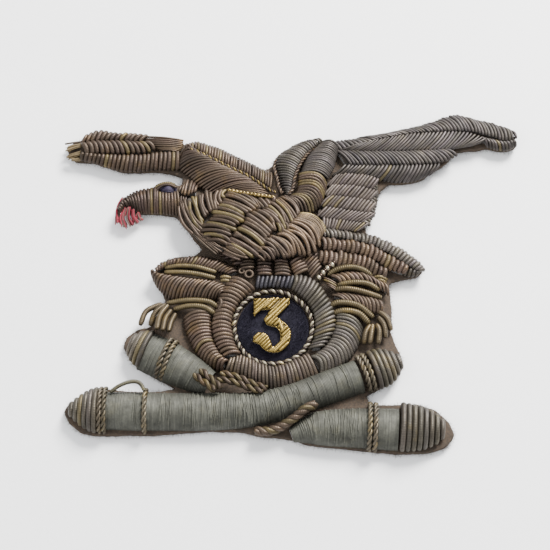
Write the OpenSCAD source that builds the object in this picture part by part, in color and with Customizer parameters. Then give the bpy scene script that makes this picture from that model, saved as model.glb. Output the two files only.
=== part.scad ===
// Hand-embroidered bullion cap badge: an eagle over a coiled horn with a numbered
// velvet disc, above two crossed gun barrels. Coiled wire tubes (purls) are couched
// over padding on a felt ground with a stiff backing. Millimetres, +Z out of the front.

/* [Ground] */
// Thickness of the stiff backing
backing_t = 0.5; // [0.3:0.1:1]
// Thickness of the felt ground
felt_t = 1.1; // [0.6:0.1:2]
// How far the felt shows past the wire work
felt_margin = 0.2; // [0:0.05:1.2]

/* [Purls] */
// Radius of the stoutest purl in a row
stout_r = 0.42; // [0.3:0.02:0.5]
// Radius of a purl as a share of the distance to the next one
snug = 0.43; // [0.3:0.01:0.48]
// Part of a purl's length that is left free at each end of a row
end_gap = 0.05; // [0:0.01:0.15]
// Height over the felt of purl ends that are stitched down at its edge
seat = 0.4; // [0.3:0.05:0.6]
// Clearance between a purl and the padding below it
rest_gap = 0.1; // [0.05:0.01:0.3]

/* [Relief] */
// Height of the eagle's breast above the felt
breast_h = 3.3; // [2:0.1:4.5]
// Height of a gun barrel above the felt
barrel_h = 3.3; // [2.4:0.1:4.2]
// Height of the horn ring at its crest
ring_crown = 1.1; // [0.4:0.05:1.3]

/* [Disc] */
// Radius of the velvet disc
disc_r = 7.3; // [6.5:0.1:7.5]
// Radius of the rope that frames the disc, at its centre line
rope_ring_r = 8; // [7.8:0.1:8.3]
// Radius of the rope itself
rope_r = 0.46; // [0.35:0.02:0.6]
// Height of the numeral's card above the velvet
card_t = 0.5; // [0.3:0.1:0.8]

/* [Hidden] */
z0 = backing_t + felt_t;
gold = [0.72, 0.64, 0.36];
brown = [0.42, 0.37, 0.31];
grey = [0.40, 0.40, 0.36];
cotton = [0.72, 0.64, 0.48];
EPS = 0.001;

// ---------- paths ----------

// A smooth curve through the guide points, four steps to each span.
function spline(p, k = 4) = [
  for (i = [0 : len(p) - 2], j = [0 : k - 1])
    let (
      a = p[max(i - 1, 0)], b = p[i], c = p[i + 1], d = p[min(i + 2, len(p) - 1)],
      t = j / k
    )
    0.5 * (2 * b + (c - a) * t + (2 * a - 5 * b + 4 * c - d) * t * t
      + (3 * b - a - 3 * c + d) * t * t * t),
  p[len(p) - 1]
];

function lengths(p, i = 0, acc = [0]) =
  i >= len(p) - 1 ? acc
    : lengths(p, i + 1, concat(acc, acc[i] + norm(p[i + 1] - p[i])));

// Point at fraction s of a path's length.
function point_at(p, run, s) =
  let (
    want = max(0, min(1, s)) * run[len(run) - 1],
    hits = [for (i = [1 : len(run) - 1]) if (run[i] >= want - EPS) i],
    i = len(hits) > 0 ? hits[0] : len(run) - 1,
    u = (want - run[i - 1]) / max(EPS, run[i] - run[i - 1])
  )
  p[i - 1] + (p[i] - p[i - 1]) * max(0, min(1, u));

// n + 1 points at even steps along a path, from fraction a to fraction b.
function even(p, n, a = 0, b = 1) =
  let (q = spline(p), run = lengths(q))
  [for (i = [0 : n]) point_at(q, run, a + (b - a) * i / n)];

function mix(a, b, t) = a + (b - a) * t;
function side(v) = [-v[1], v[0]] / max(EPS, norm(v));
function up(p, z) = [p[0], p[1], z];

// ---------- solids ----------

// A tube of radius r along the circle through three points.
module arc_purl(p, q, w, r) {
  bend = cross(q - p, w - q);
  if (norm(bend) < 0.01) {
    straight_purl(p, w, r);
  } else {
    z = bend / norm(bend);
    a = p - w;
    b = q - w;
    ab = cross(a, b);
    c = w + cross((a * a) * b - (b * b) * a, ab) / (2 * (ab * ab));
    big = norm(p - c);
    x = (p - c) / big;
    y = cross(z, x);
    turn = atan2((w - c) * y, (w - c) * x);
    multmatrix([
      [x[0], y[0], z[0], c[0]],
      [x[1], y[1], z[1], c[1]],
      [x[2], y[2], z[2], c[2]]
    ])
      rotate_extrude(angle = turn < 0 ? turn + 360 : turn)
        translate([big, 0])
          circle(r);
  }
}

module straight_purl(p, w, r) {
  d = w - p;
  z = d / norm(d);
  h = abs(z[2]) < 0.9 ? [0, 0, 1] : [1, 0, 0];
  x = cross(h, z) / norm(cross(h, z));
  y = cross(z, x);
  multmatrix([
    [x[0], y[0], z[0], p[0]],
    [x[1], y[1], z[1], p[1]],
    [x[2], y[2], z[2], p[2]]
  ])
    cylinder(h = norm(d), r = r);
}

// One purl from plan point a to plan point b, raised by crown, with its middle
// pushed sideways by bow. Heights are over the felt.
module purl(a, b, za, zb, crown, r, bow = [0, 0]) {
  arc_purl(up(a, z0 + za), up((a + b) / 2 + bow, z0 + (za + zb) / 2 + crown),
    up(b, z0 + zb), r);
}

// Distance from the line of purl i to the two ends of purl k.
function spacing(pa, pb, i, k) =
  k < 0 || k >= len(pa) || k == i ? 9
    : let (d = (pb[i] - pa[i]) / norm(pb[i] - pa[i]))
      min(abs(cross(d, pa[k] - pa[i])), abs(cross(d, pb[k] - pb[i])));

// Radius of purl i, kept clear of the purls on each side of it.
function fit_r(pa, pb, i, share) =
  min(stout_r, share * min(spacing(pa, pb, i, i - 1), spacing(pa, pb, i, i + 1),
    spacing(pa, pb, max(i - 1, 0), i), spacing(pa, pb, min(i + 1, len(pa) - 1), i)));

// A row of n purls from guide rail A to guide rail B. The span gives the part of
// each rail that is used, so that the purls can lean.
module purl_row(A, B, n, za, zb, crown, bow = [0, 0], span = [0, 1, 0, 1], gap = end_gap,
    share = snug) {
  pa = even(A, n - 1, span[0], span[1]);
  pb = even(B, n - 1, span[2], span[3]);
  for (i = [0 : n - 1]) {
    purl(mix(pa[i], pb[i], gap), mix(pb[i], pa[i], gap), za, zb, crown,
      fit_r(pa, pb, i, share), bow);
  }
}

// A closed solid between two grids of points of the same size.
module slab(top, bottom) {
  m = len(top);
  n = len(top[0]);
  pts = concat([for (row = top) each row], [for (row = bottom) each row]);
  o = m * n;
  e1 = top[1][0] - top[0][0];
  e2 = top[0][n - 1] - top[0][0];
  flip = cross(e1, e2)[2] > 0;
  quads = concat(
    [for (i = [0 : m - 2], j = [0 : n - 2])
      [i * n + j, i * n + j + 1, (i + 1) * n + j + 1, (i + 1) * n + j]],
    [for (i = [0 : m - 2], j = [0 : n - 2])
      [o + i * n + j, o + (i + 1) * n + j, o + (i + 1) * n + j + 1, o + i * n + j + 1]],
    [for (i = [0 : m - 2])
      [i * n, (i + 1) * n, o + (i + 1) * n, o + i * n]],
    [for (i = [0 : m - 2])
      [(i + 1) * n - 1, o + (i + 1) * n - 1, o + (i + 2) * n - 1, (i + 2) * n - 1]],
    [for (j = [0 : n - 2])
      [j, o + j, o + j + 1, j + 1]],
    [for (j = [0 : n - 2])
      [(m - 1) * n + j, (m - 1) * n + j + 1, o + (m - 1) * n + j + 1, o + (m - 1) * n + j]]
  );
  tris = [for (q = quads) each [[q[0], q[1], q[2]], [q[0], q[2], q[3]]]];
  faces = flip ? tris : [for (t = tris) [t[2], t[1], t[0]]];
  polyhedron(points = pts, faces = faces);
}

// Cotton padding under a row of purls, with its top just below them.
module row_pad(A, B, m, za, zb, crown, n = 5, inset = 0.12) {
  pa = even(A, m);
  pb = even(B, m);
  ts = [for (j = [0 : n - 1]) mix(inset, 1 - inset, j / (n - 1))];
  top = [for (i = [0 : m]) [for (t = ts)
    up(mix(pa[i], pb[i], t),
      z0 + max(0.15, mix(za, zb, t) + 4 * crown * t * (1 - t) - stout_r - rest_gap))]];
  bottom = [for (i = [0 : m]) [for (t = ts) up(mix(pa[i], pb[i], t), z0)]];
  slab(top, bottom);
}

// A round cord along a path in space, with six flat sides.
module cord(path, r, sides = 6) {
  m = len(path);
  ring = function (i)
    let (
      d = path[min(i + 1, m - 1)] - path[max(i - 1, 0)],
      s = up(side([d[0], d[1]]), 0),
      u = cross(d, s) / norm(cross(d, s))
    )
    [for (k = [0 : sides - 1])
      path[i] + r * (cos(360 * k / sides) * s + sin(360 * k / sides) * u)];
  pts = [for (i = [0 : m - 1]) each ring(i)];
  walls = [for (i = [0 : m - 2], k = [0 : sides - 1])
    let (a = i * sides + k, b = i * sides + (k + 1) % sides)
    each [[a, b, b + sides], [a, b + sides, a + sides]]];
  first = [for (k = [1 : sides - 2]) [0, k + 1, k]];
  last = [for (k = [1 : sides - 2])
    [(m - 1) * sides, (m - 1) * sides + k, (m - 1) * sides + k + 1]];
  polyhedron(points = pts, faces = concat(walls, first, last));
}

// A cord over guide points that are given with their heights.
module cord_over(guide, r, k = 3, sides = 6) {
  cord(spline(guide, k), r, sides);
}

// ---------- guide rails of the left wing ----------

lw_1a = [[-40.2, 44.9], [-38.8, 45.8], [-36.6, 45.8], [-34, 45.2], [-30, 45.1], [-27.4, 44.7]];
lw_1b = [[-41.2, 42.9], [-38.5, 43.3], [-36, 43.5], [-33, 43.4], [-30.6, 43.3], [-28.9, 43.2]];
lw_2a = [[-41.2, 42.4], [-38.5, 42.8], [-35, 43], [-31.6, 42.9], [-29, 42.7], [-27.9, 42.6]];
lw_2b = [[-40, 39.9], [-37, 40.1], [-33, 40.1], [-29.3, 40.2], [-27, 40.5], [-25.6, 41.1]];
lw_3a = [[-41, 39.9], [-38, 39.7], [-34.5, 39.6], [-31, 39.6], [-28, 39.7], [-25, 40.2],
  [-20.6, 40.6]];
lw_3b = [[-41.3, 39.1], [-38.8, 38.4], [-36, 37.3], [-33.5, 36.5], [-31.2, 36.2],
  [-28.6, 36.2], [-25.6, 36.5], [-20.6, 36.5]];
smooth_a = [[-28.8, 44.4], [-27.6, 43.2], [-26.2, 42], [-24.6, 41.2]];
smooth_b = [[-19.4, 43.5], [-19.4, 42.6], [-19.6, 41.8], [-20.2, 41.1]];
short_a = [[-18.6, 42.4], [-16.7, 43.2], [-15, 42.8], [-12.5, 42], [-10, 40.8], [-7.5, 39.4],
  [-5, 38.1], [-2.5, 36.7], [-0.4, 35.8]];
short_b = [[-18.6, 41.2], [-16, 40.5], [-14, 39.4], [-11, 37.7], [-8, 36], [-5, 34.5],
  [-3, 33.2], [-0.6, 31.4]];
long_a = [[-18.8, 41.1], [-19.9, 39.8], [-20.5, 38.2], [-20.3, 36.8], [-19.2, 35.6],
  [-17.8, 34.5], [-16.9, 33.2], [-15.4, 32], [-13.4, 31], [-11.2, 30.6], [-9.2, 30.4]];
long_b = [[-17.4, 40.5], [-15.6, 39.5], [-13.4, 38.4], [-11.2, 37.1], [-9, 35.8], [-7, 34.8],
  [-5.2, 33.8], [-3.6, 32.7], [-2.4, 31.9], [-1.2, 30.9], [-0.4, 29.6]];
left_spine = [[-18.2, 41], [-15.5, 39.8], [-10, 36.8], [-5, 34.1], [-1.2, 31.2], [0.6, 30]];

// ---------- guide rails of the head and body ----------

beak_a = [[-32.9, 26.8], [-32.5, 28.5], [-31.3, 30], [-29.6, 31.2], [-27.6, 31.8],
  [-25.2, 32.3]];
beak_b = [[-31.9, 26.2], [-31.2, 27], [-30, 27.3], [-28.6, 26.5], [-26.6, 26.1], [-25, 26.1]];
cheek_a = [[-24.6, 30.8], [-23.4, 30.4], [-21.6, 30.4], [-20.4, 31]];
cheek_b = [[-24.4, 26.1], [-22.8, 26], [-21.2, 25.9], [-19.8, 25.7]];
nape_a = [[-19.3, 32.6], [-18.4, 33.7], [-17.4, 33.8], [-16.2, 32.4]];
nape_b = [[-20, 30.4], [-19, 29.7], [-17.9, 29.7], [-16.6, 30.2]];

// Height of the body's surface over the plan.
function breast(p) =
  let (
    v = p - [-4.5, 22],
    a = v * [0.906, -0.423],
    b = v * [0.423, 0.906],
    d = a * a / 300 + b * b / 120
  )
  z0 + 0.6 + (breast_h - 0.6) * sqrt(max(0, 1 - d));

// A row of purls that follows the swell of the breast.
module breast_row(A, B, n, bow = [0, 0], share = snug, lift = 0.45, crown = 0.5) {
  pa = even(A, n - 1);
  pb = even(B, n - 1);
  for (i = [0 : n - 1]) {
    a = mix(pa[i], pb[i], end_gap);
    b = mix(pb[i], pa[i], end_gap);
    m = (a + b) / 2 + bow;
    arc_purl(up(a, breast(a) + lift), up(m, breast(m) + lift + crown),
      up(b, breast(b) + lift), fit_r(pa, pb, i, share));
  }
}

body_low = [[-18.8, 26.2], [-17.4, 23.6], [-15.4, 20.8], [-13.2, 18.6], [-11, 16.7],
  [-8.6, 15.1], [-5, 14.9], [-1, 15.2], [3, 15.4], [6, 16.6]];
body_high = [[-18, 29.4], [-15.6, 29.6], [-13, 29.4], [-10, 29.2], [-7, 29], [-4, 28.6],
  [-1, 28.4], [2, 27.8], [5, 25.6], [8, 22]];

// ---------- guide rails of the right wing ----------

arm_a = [[2.3, 29.8], [1.7, 31.6], [1.4, 33.5], [0.9, 36], [0.5, 38], [1.4, 39.7], [3, 41.1], [4.6, 42.1],
  [6.6, 42.9], [9, 43.2]];
arm_b = [[3.5, 29.3], [4.3, 31], [4.6, 33], [5.1, 35], [5.8, 37], [6.7, 38.8], [7.8, 40.2], [8.9, 41.2],
  [9.8, 41.9], [10.6, 42.4]];
arm_cord_1 = [[2, 29.6, z0 + 2.9], [1.3, 31.2, z0 + 2.6], [0.9, 33.6, z0 + 2.1], [0.4, 35.9, z0 + 1.5],
  [0.3, 37.7, z0 + 1.1], [1.2, 39.4, z0 + 0.9], [2.6, 40.8, z0 + 0.8]];
arm_cord_2 = [[3.3, 29.3, z0 + 3.1], [4.2, 30.8, z0 + 3.1], [4.6, 33.4, z0 + 2.9], [5.3, 35.6, z0 + 2.7],
  [6, 37.2, z0 + 2.5], [7, 39, z0 + 2.2], [8.4, 40.9, z0 + 1.8], [9.6, 41.8, z0 + 1.5]];
fan_a = [[5.3, 34.5], [5.3, 33.2], [5.2, 31.6], [4.7, 30.2], [3.2, 29.3], [1.6, 28.9],
  [0.6, 28.7]];
fan_b = [[11.3, 32], [10.8, 29.6], [9.8, 27.4], [8.7, 26], [7.4, 25.3], [6, 25.1], [4.8, 25.1]];
silk_a = [[10, 42.3], [8.6, 40.7], [7.3, 38.9], [6.4, 36.9], [5.8, 35.2]];
silk_b = [[14.2, 41.2], [13.7, 39.6], [13.3, 37.8], [12.8, 36], [11.8, 34]];
shoulder_a = [[9.8, 43.1], [12.4, 43.4], [15, 43.6], [18, 43.9]];
shoulder_b = [[11, 42.3], [13.4, 41.7], [15.4, 41.6], [18.4, 42.6]];

rw_1a = [[18, 44.2], [22.5, 44.9], [27, 46], [31, 47], [35, 48.3], [38.6, 49.8], [41.6, 49.6],
  [45, 48.5], [48.5, 47.5], [51.2, 46.2], [52.4, 44.6]];
rw_1b = [[20.6, 43.1], [25.6, 44.3], [30.2, 45.1], [34.6, 45.5], [39, 45.7], [42.4, 45.6],
  [45, 45], [47.2, 44.3], [49.2, 43.6], [51, 43.4], [52.4, 43.8]];
rw_2a = [[18.8, 42.5], [24, 43.6], [28.6, 44.5], [33.6, 44.9], [38, 45.1], [42, 45], [46, 43.6]];
rw_2b = [[14.8, 41.2], [18.4, 40.9], [23.2, 40.9], [28.4, 40.9], [32.8, 41], [37.2, 41.1],
  [42.4, 42.3]];
rw_3a = [[13.6, 40.7], [17.6, 40.4], [23, 40.4], [29, 40.4], [34.6, 40.6], [38.2, 40.8]];
rw_3b = [[15.6, 37.6], [20.2, 37.4], [25.8, 37.5], [31.4, 37.6], [36.2, 38.3], [39.2, 39.8]];
rw_4a = [[15.6, 37.1], [20.6, 36.9], [25.6, 36.9], [30.6, 37], [35.6, 37.3]];
rw_4b = [[12.6, 35], [17, 35.1], [21.8, 34.3], [26, 33.8], [30, 34.1], [33.4, 35.5]];
rw_tip_a = [[45, 44.2], [47.4, 43.4], [49.8, 43], [51.8, 43.2]];
rw_tip_b = [[46.4, 42.2], [48.4, 41.5], [50.6, 41.4], [52.2, 42.3]];

// Rungs of the five short secondary rows, from the wing down to the tail.
rungs = [
  [[12.4, 34.4], [15, 35.4], [18, 35.1], [20.6, 34.8], [22.4, 33.9]],
  [[11.3, 32.2], [14, 32.6], [17, 32.4], [20, 31.9], [22.2, 31]],
  [[10.6, 29.8], [14, 29.9], [18, 29.3], [21.8, 28.4]],
  [[9.8, 27.4], [13, 27.1], [17, 26.4], [21.6, 25.9]],
  [[9.3, 25], [12, 24.6], [16, 24], [20, 23.5]],
  [[10.6, 22.3], [13, 22.1], [16, 21.7], [18.8, 21.6]]
];

// ---------- guide rails of the tail ----------

tail_1a = [[10.8, 22.4], [14, 22], [18, 21.3], [20.6, 20.8], [23, 19.8], [25.6, 18.4],
  [28, 16.6], [29.8, 15.1], [31, 13.9], [31.4, 12.9]];
tail_1b = [[13, 20.1], [16.8, 19.6], [20, 18.7], [21.8, 18.1], [23.2, 17.3], [24.9, 16.2],
  [26.4, 15.1], [27.7, 14], [29, 13.2], [30.4, 12.6]];
tail_2a = [[10.2, 19.7], [14.2, 19.4], [18, 18.7], [20.8, 17.8], [22.6, 16.8], [24.4, 15.6],
  [25.8, 14.5], [27.5, 13.3]];
tail_2b = [[10.7, 17.3], [14.1, 17.1], [17.6, 16.5], [20, 15.7], [21.9, 14.3], [23.6, 13.1],
  [25, 12.3], [26.8, 11.8]];
tail_3a = [[10, 16.9], [13.4, 16.7], [17, 16.2], [19.6, 15.3], [21.4, 13.9], [23, 12.7]];
tail_3b = [[9.8, 14.3], [13, 13.3], [16, 12.9], [18.6, 12.7], [20.8, 11.6], [22.6, 11.1]];
tail_4a = [[28, 13.1], [29, 12.8], [30.2, 12.4]];
tail_4b = [[27.6, 11.9], [28.6, 11.6], [29.6, 11.8]];

// ---------- guide rails of the horn ring ----------

ring_1a = [[-4.1, 8.5], [-5.9, 7.2], [-7.6, 5.1], [-8.7, 2.5], [-9.1, 0], [-8.7, -2.7],
  [-7.8, -5], [-7.1, -6.3]];
ring_1b = [[-8.6, 10.8], [-10.2, 8.6], [-11.2, 6.2], [-12, 3.2], [-12.5, 0], [-12.3, -2.2],
  [-11.5, -4.6], [-10.2, -6.6]];
ring_2a = [[-13, 2.8], [-13.1, 0.2], [-12.9, -2.2], [-12.1, -4.6], [-10.9, -6.6], [-9.6, -7.9]];
ring_2b = [[-18.4, 1.8], [-17.9, -0.8], [-16.7, -3.8], [-15, -6.5], [-13, -8.4], [-10.4, -9.8]];
ring_3a = [[-8.4, -7.2], [-6.6, -6.6], [-4.6, -7.6], [-2.4, -8.6], [0, -9.2], [2.3, -8.7],
  [4.6, -7.6], [6.8, -6.5]];
ring_3b = [[-9.6, -10.4], [-7, -10.9], [-4.6, -11.9], [-2.2, -13], [0, -13.6], [3, -13],
  [6, -12], [9, -10.8]];
ring_4a = [[4.2, 8.4], [6.1, 7.1], [7.8, 5.1], [8.8, 2.6], [9.1, 0], [8.8, -2.6], [7.7, -5]];
ring_4b = [[4.8, 11.4], [7.6, 10.8], [9.6, 9.2], [11, 6.8], [12.2, 4], [12.6, 1], [11.8, -2],
  [9.8, -4.8]];
ring_5a = [[7.9, -6.7], [9.8, -5.6], [11.6, -3.7], [12.7, -1.5], [13.2, 0.9], [13.2, 2.6]];
ring_5b = [[9.8, -10.4], [12.4, -9.2], [14.8, -7.6], [16.4, -5.8], [17.7, -3.4], [18.2, -0.7]];
ring_6a = [[-3.2, 8.8], [0, 9.1], [3.4, 8.8]];
ring_6b = [[-2.8, 11.3], [0, 11.4], [4.2, 11.3]];

// ---------- guide rails of the two bell leaves ----------

leaf_1a = [[-25, 12.3], [-23.9, 14], [-22, 15], [-19, 15.7], [-15.6, 15.9], [-12.6, 15.5],
  [-10, 14.6], [-8, 13.4], [-7.2, 12.5]];
leaf_1b = [[-24.2, 12.3], [-23, 13.2], [-21.4, 13.9], [-18.4, 14], [-15.6, 13.7], [-13.2, 13.1],
  [-11.4, 12.6], [-10, 12.2], [-8.8, 11.7]];
leaf_2a = [[-24.8, 11.6], [-22, 11], [-18, 10.5], [-14, 10], [-11.6, 9.4], [-9.9, 8.7],
  [-9.8, 7.6]];
leaf_2b = [[-24.9, 10.8], [-23.7, 8.8], [-22.1, 6.8], [-20, 6.1], [-17, 5.9], [-14, 5.9],
  [-11.2, 6.1]];
bell_1a = [[12, 11.3], [14.6, 11.8], [17, 12], [19, 11.6], [21, 10.6], [22.6, 9.9]];
bell_1b = [[14.6, 10.2], [17.4, 10.4], [19.4, 10.2], [21.2, 9.4], [22.6, 8.4], [23.6, 7.4]];
bell_2a = [[12.2, 6.9], [14.6, 7.2], [17, 6.8], [19.4, 6.1], [21.6, 5.4]];
bell_2b = [[15.8, 5.2], [17.6, 4.8], [19, 4.2], [20.4, 3.7], [21.8, 3.4]];

// ---------- gun barrels ----------

// Each line is x, y, half width and height over the felt along the barrel.
front_axis = [[-33.4, -17.9, 4, 1], [-25, -18.1, 4, 1], [-12, -18.1, 3.9, 1],
  [-4, -17.6, 3.6, 1], [3, -16, 3.4, 1], [10, -13.4, 3.5, 1], [17.4, -10.6, 3.6, 1]];
rear_axis_left = [[-25.1, -5.3, 4.2, 0.95], [-21.3, -7.1, 4.1, 0.9], [-17.6, -9.1, 3.5, 0.9],
  [-14.5, -11, 2.8, 0.85], [-13, -11.9, 2.3, 0.8]];
rear_axis_right = [[3.6, -23, 1.6, 0.5], [7, -21.9, 2.9, 0.8], [10.6, -21.5, 3.7, 0.95],
  [18.6, -21.6, 4.2, 1], [25, -21.9, 4.4, 1]];

function axis_dir(a, i) =
  let (d = a[min(i + 1, len(a) - 1)] - a[max(i - 1, 0)])
  [d[0], d[1]] / norm([d[0], d[1]]);

// Points over the half-round of a barrel at station i, moved outwards by grow.
function arch(a, i, grow, steps = 8) =
  let (s = side(axis_dir(a, i)), w = a[i][2] + grow, h = barrel_h * a[i][3] + grow)
  [for (k = [0 : steps])
    let (t = 180 * k / steps)
    up([a[i][0], a[i][1]] + s * w * cos(t), z0 + max(0.02, h * sin(t)))];

module barrel_core(axis) {
  a = spline(axis, 2);
  top = [for (i = [0 : len(a) - 1]) arch(a, i, -0.5)];
  flat = [for (row = top) [for (p = row) up([p[0], p[1]], z0)]];
  lifted = [for (row = top) [for (p = row) up([p[0], p[1]], max(p[2], z0 + 0.1))]];
  slab(lifted, flat);
}

module barrel_winding(axis) {
  a = spline(axis, 3);
  outer = [for (i = [0 : len(a) - 1]) arch(a, i, 0)];
  inner = [for (i = [0 : len(a) - 1]) [for (p = arch(a, i, -0.38)) p]];
  base = [for (i = [0 : len(a) - 1]) [for (k = [0 : 8])
    let (p = inner[i][k], q = outer[i][k])
    k == 0 || k == 8 ? up([p[0], p[1]], q[2]) : p]];
  slab(outer, base);
}

// A hoop over a barrel, square to its axis.
module hoop(c, dir, w, h, r) {
  s = side(dir);
  arc_purl(up(c + s * w, z0 + r + 0.05), up(c, z0 + h), up(c - s * w, z0 + r + 0.05), r);
}

// A line of hoops: start, step and the half widths with their heights.
module hoops(start, dir, step, sizes, r) {
  for (i = [0 : len(sizes) - 1]) {
    hoop(start + dir * step * i, dir, sizes[i][0], sizes[i][1], r);
  }
}

dir_front_left = [-1, 0.02];
dir_front_right = [0.94, 0.34];
dir_rear_left = [-0.93, 0.37];
dir_rear_right = [0.998, -0.06];

// ---------- outline of the ground ----------

outline = [
  [-45.4, 42.6], [-44.6, 40.6], [-43, 38.4], [-41.2, 38.2], [-38.6, 38], [-35.4, 36.8],
  [-32.6, 35.8], [-29, 35.7], [-25, 35.9], [-21.6, 35.3], [-19.6, 34.5], [-19.8, 33.6],
  [-21.6, 34.3], [-24, 34], [-27.4, 32.8], [-30.2, 31.9], [-32.7, 30.1], [-33.2, 27],
  [-31.4, 25.9], [-28, 25.8], [-24, 25.7], [-20.8, 25.2], [-19, 22.6], [-17, 19.8],
  [-15.4, 18], [-16.6, 17], [-20, 16.9], [-23, 15.9], [-24.8, 13.6], [-24.6, 11],
  [-23.6, 8.2], [-22.8, 6], [-24.4, 3.4], [-25.6, 0.8], [-28, 0.4], [-30.6, -1.6],
  [-31.2, -4.2], [-29.4, -7.6], [-27.4, -9.2], [-23.8, -11.4], [-20.2, -13], [-24, -13.2],
  [-30, -13], [-34.6, -12.4], [-38.2, -13.8], [-41.8, -16.2], [-42.6, -18.2], [-41.4, -20.6],
  [-38.8, -22.9], [-35.4, -23.6], [-30, -23.5], [-24, -23.5], [-18, -23], [-12, -22.6],
  [-6, -22.8], [-3.4, -23.6], [0, -23.9], [3.6, -24.4], [7, -25.6], [13, -26.2],
  [19, -26.9], [25, -27.4], [31, -27.2], [34.6, -26], [36.9, -23.2], [35.9, -20],
  [33, -17.1], [28.8, -15.7], [24, -15.9], [19.6, -15.9], [19.2, -14.9], [22.4, -13.3],
  [24.9, -11.7], [26.8, -9], [26.9, -6.2], [25.7, -3.6], [24.8, -0.8], [25.1, 3],
  [25, 6.4], [24.6, 9.9], [27.4, 10.7], [30, 11], [31.4, 12.2], [32, 13.6],
  [30.6, 16], [28.8, 17.4], [26.2, 19.1], [23.4, 20.4], [20.2, 21.5], [20, 23.3],
  [21.4, 25.8], [22.4, 28.2], [23.2, 31.2], [24.8, 32.9], [27.6, 32.9], [30.4, 33.3],
  [32.4, 34.1], [34.2, 35.6], [36.4, 37], [38.3, 38.6], [39.6, 40.6], [42, 41],
  [44.6, 41.1], [46, 41.7], [48.2, 41], [50.6, 40.9], [52.6, 41.6], [53.2, 43],
  [52.8, 45.4], [50.8, 47.2], [47.4, 48.6], [44.6, 49.6], [41.4, 50.3], [38.6, 50.4],
  [36.2, 49.8], [33.4, 48.8], [29, 47.6], [24.6, 46.3], [20, 45.1], [15, 44.6],
  [10, 44.2], [7.2, 44], [4.4, 43.3], [3, 41.8], [1.2, 40.6], [-0.4, 39.2],
  [-0.9, 37.8], [-2.6, 37.1], [-5.2, 38.6], [-7.8, 40.1], [-10.2, 41.5], [-12.6, 42.5],
  [-15, 43.2], [-17.2, 43.7], [-19.2, 43.6], [-20.4, 44.2], [-25, 44.9], [-30, 45.6],
  [-34, 45.8], [-38, 46.4], [-40.4, 45.8], [-42, 44.6], [-44, 43.6]
];

// Moves each corner of a closed outline inwards by d, square to its neighbours.
function shrink(p, d) = [
  for (i = [0 : len(p) - 1])
    let (
      a = p[(i + len(p) - 1) % len(p)],
      b = p[(i + 1) % len(p)]
    )
    p[i] + side(b - a) * d
];

// ---------- ground ----------

module backing() {
  color([0.36, 0.33, 0.3])
    linear_extrude(backing_t)
      polygon(shrink(outline, 0.75 - felt_margin + 0.35));
}

module felt_ground() {
  color([0.5, 0.42, 0.38])
    translate([0, 0, backing_t])
      linear_extrude(felt_t)
        polygon(shrink(outline, 0.75 - felt_margin));
}

// ---------- padding ----------

module pad_left_wing() {
  color(cotton) {
    row_pad(lw_1a, lw_1b, 8, seat, 1, 0.75);
    row_pad(lw_2a, lw_2b, 8, 1, 1, 0.8);
    row_pad(lw_3a, lw_3b, 10, 1, seat, 0.85);
    row_pad(smooth_a, smooth_b, 4, 0.6, 0.7, 0.7, inset = 0.2);
    row_pad(short_a, short_b, 10, seat, 1.5, 0.8);
    row_pad(long_a, long_b, 10, 0.5, 1.6, 1, inset = 0.14);
  }
}

module pad_head() {
  color(cotton) {
    row_pad(beak_a, beak_b, 6, seat, seat, 1.9);
    row_pad(cheek_a, cheek_b, 3, 1.5, seat, 1.2);
    row_pad(nape_a, nape_b, 3, 0.8, 1.9, 0.7);
  }
}

module pad_body() {
  color(cotton) {
    pa = even(body_low, 14);
    pb = even(body_high, 14);
    ts = [for (j = [0 : 7]) mix(0.06, 0.94, j / 7)];
    top = [for (i = [0 : 14]) [for (t = ts)
      let (p = mix(pa[i], pb[i], t))
      up(p, max(z0 + 0.2, breast(p) - 0.35))]];
    bottom = [for (i = [0 : 14]) [for (t = ts) up(mix(pa[i], pb[i], t), z0)]];
    slab(top, bottom);
  }
}

module pad_arm() {
  color(cotton) {
    row_pad(arm_a, arm_b, 9, 0.9, 2, 0.9);
    row_pad(fan_a, fan_b, 8, 2.1, 1.5, 1, inset = 0.16);
    row_pad(silk_a, silk_b, 5, 1.6, 1.2, 1, inset = 0.16);
    row_pad(shoulder_a, shoulder_b, 3, seat, 1.1, 0.5);
  }
}

module pad_right_wing() {
  color(cotton) {
    row_pad(rw_1a, rw_1b, 10, seat, 1, 0.85);
    row_pad(rw_2a, rw_2b, 10, 1, 0.9, 0.85);
    row_pad(rw_3a, rw_3b, 8, 1, 1, 0.85);
    row_pad(rw_4a, rw_4b, 8, 1, seat, 0.85);
    row_pad(rw_tip_a, rw_tip_b, 3, 0.9, seat, 0.7);
    for (k = [0 : 3]) {
      row_pad(rungs[k], rungs[k + 1], 4, 0.95, 0.95, 0.35);
    }
  }
}

module pad_tail() {
  color(cotton) {
    row_pad(tail_1a, tail_1b, 9, seat, 1.1, 0.8);
    row_pad(tail_2a, tail_2b, 8, 1.1, 1.1, 0.75);
    row_pad(tail_3a, tail_3b, 6, 1.1, 0.8, 0.8);
  }
}

module pad_ring() {
  color(cotton) {
    row_pad(ring_1a, ring_1b, 10, 1.2, 1.2, ring_crown);
    row_pad(ring_2a, ring_2b, 7, 1.3, seat, ring_crown);
    row_pad(ring_3a, ring_3b, 9, 1.2, 0.4, ring_crown);
    row_pad(ring_4a, ring_4b, 10, 1.2, 1.2, ring_crown);
    row_pad(ring_5a, ring_5b, 7, 1.3, 0.4, ring_crown);
    row_pad(ring_6a, ring_6b, 4, 1.2, 1.2, 0.5);
  }
}

module pad_leaves() {
  color(cotton) {
    row_pad(leaf_1a, leaf_1b, 8, seat, 1.2, 0.8);
    row_pad(leaf_2a, leaf_2b, 8, 1.2, 0.4, 1.3);
    row_pad(bell_1a, bell_1b, 5, 1.2, 1.2, 0.6);
    row_pad(bell_2a, bell_2b, 3, 1.2, 1.1, 0.7);
  }
}

module core_front_barrel() {
  color(cotton)
    barrel_core(front_axis);
}

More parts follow.
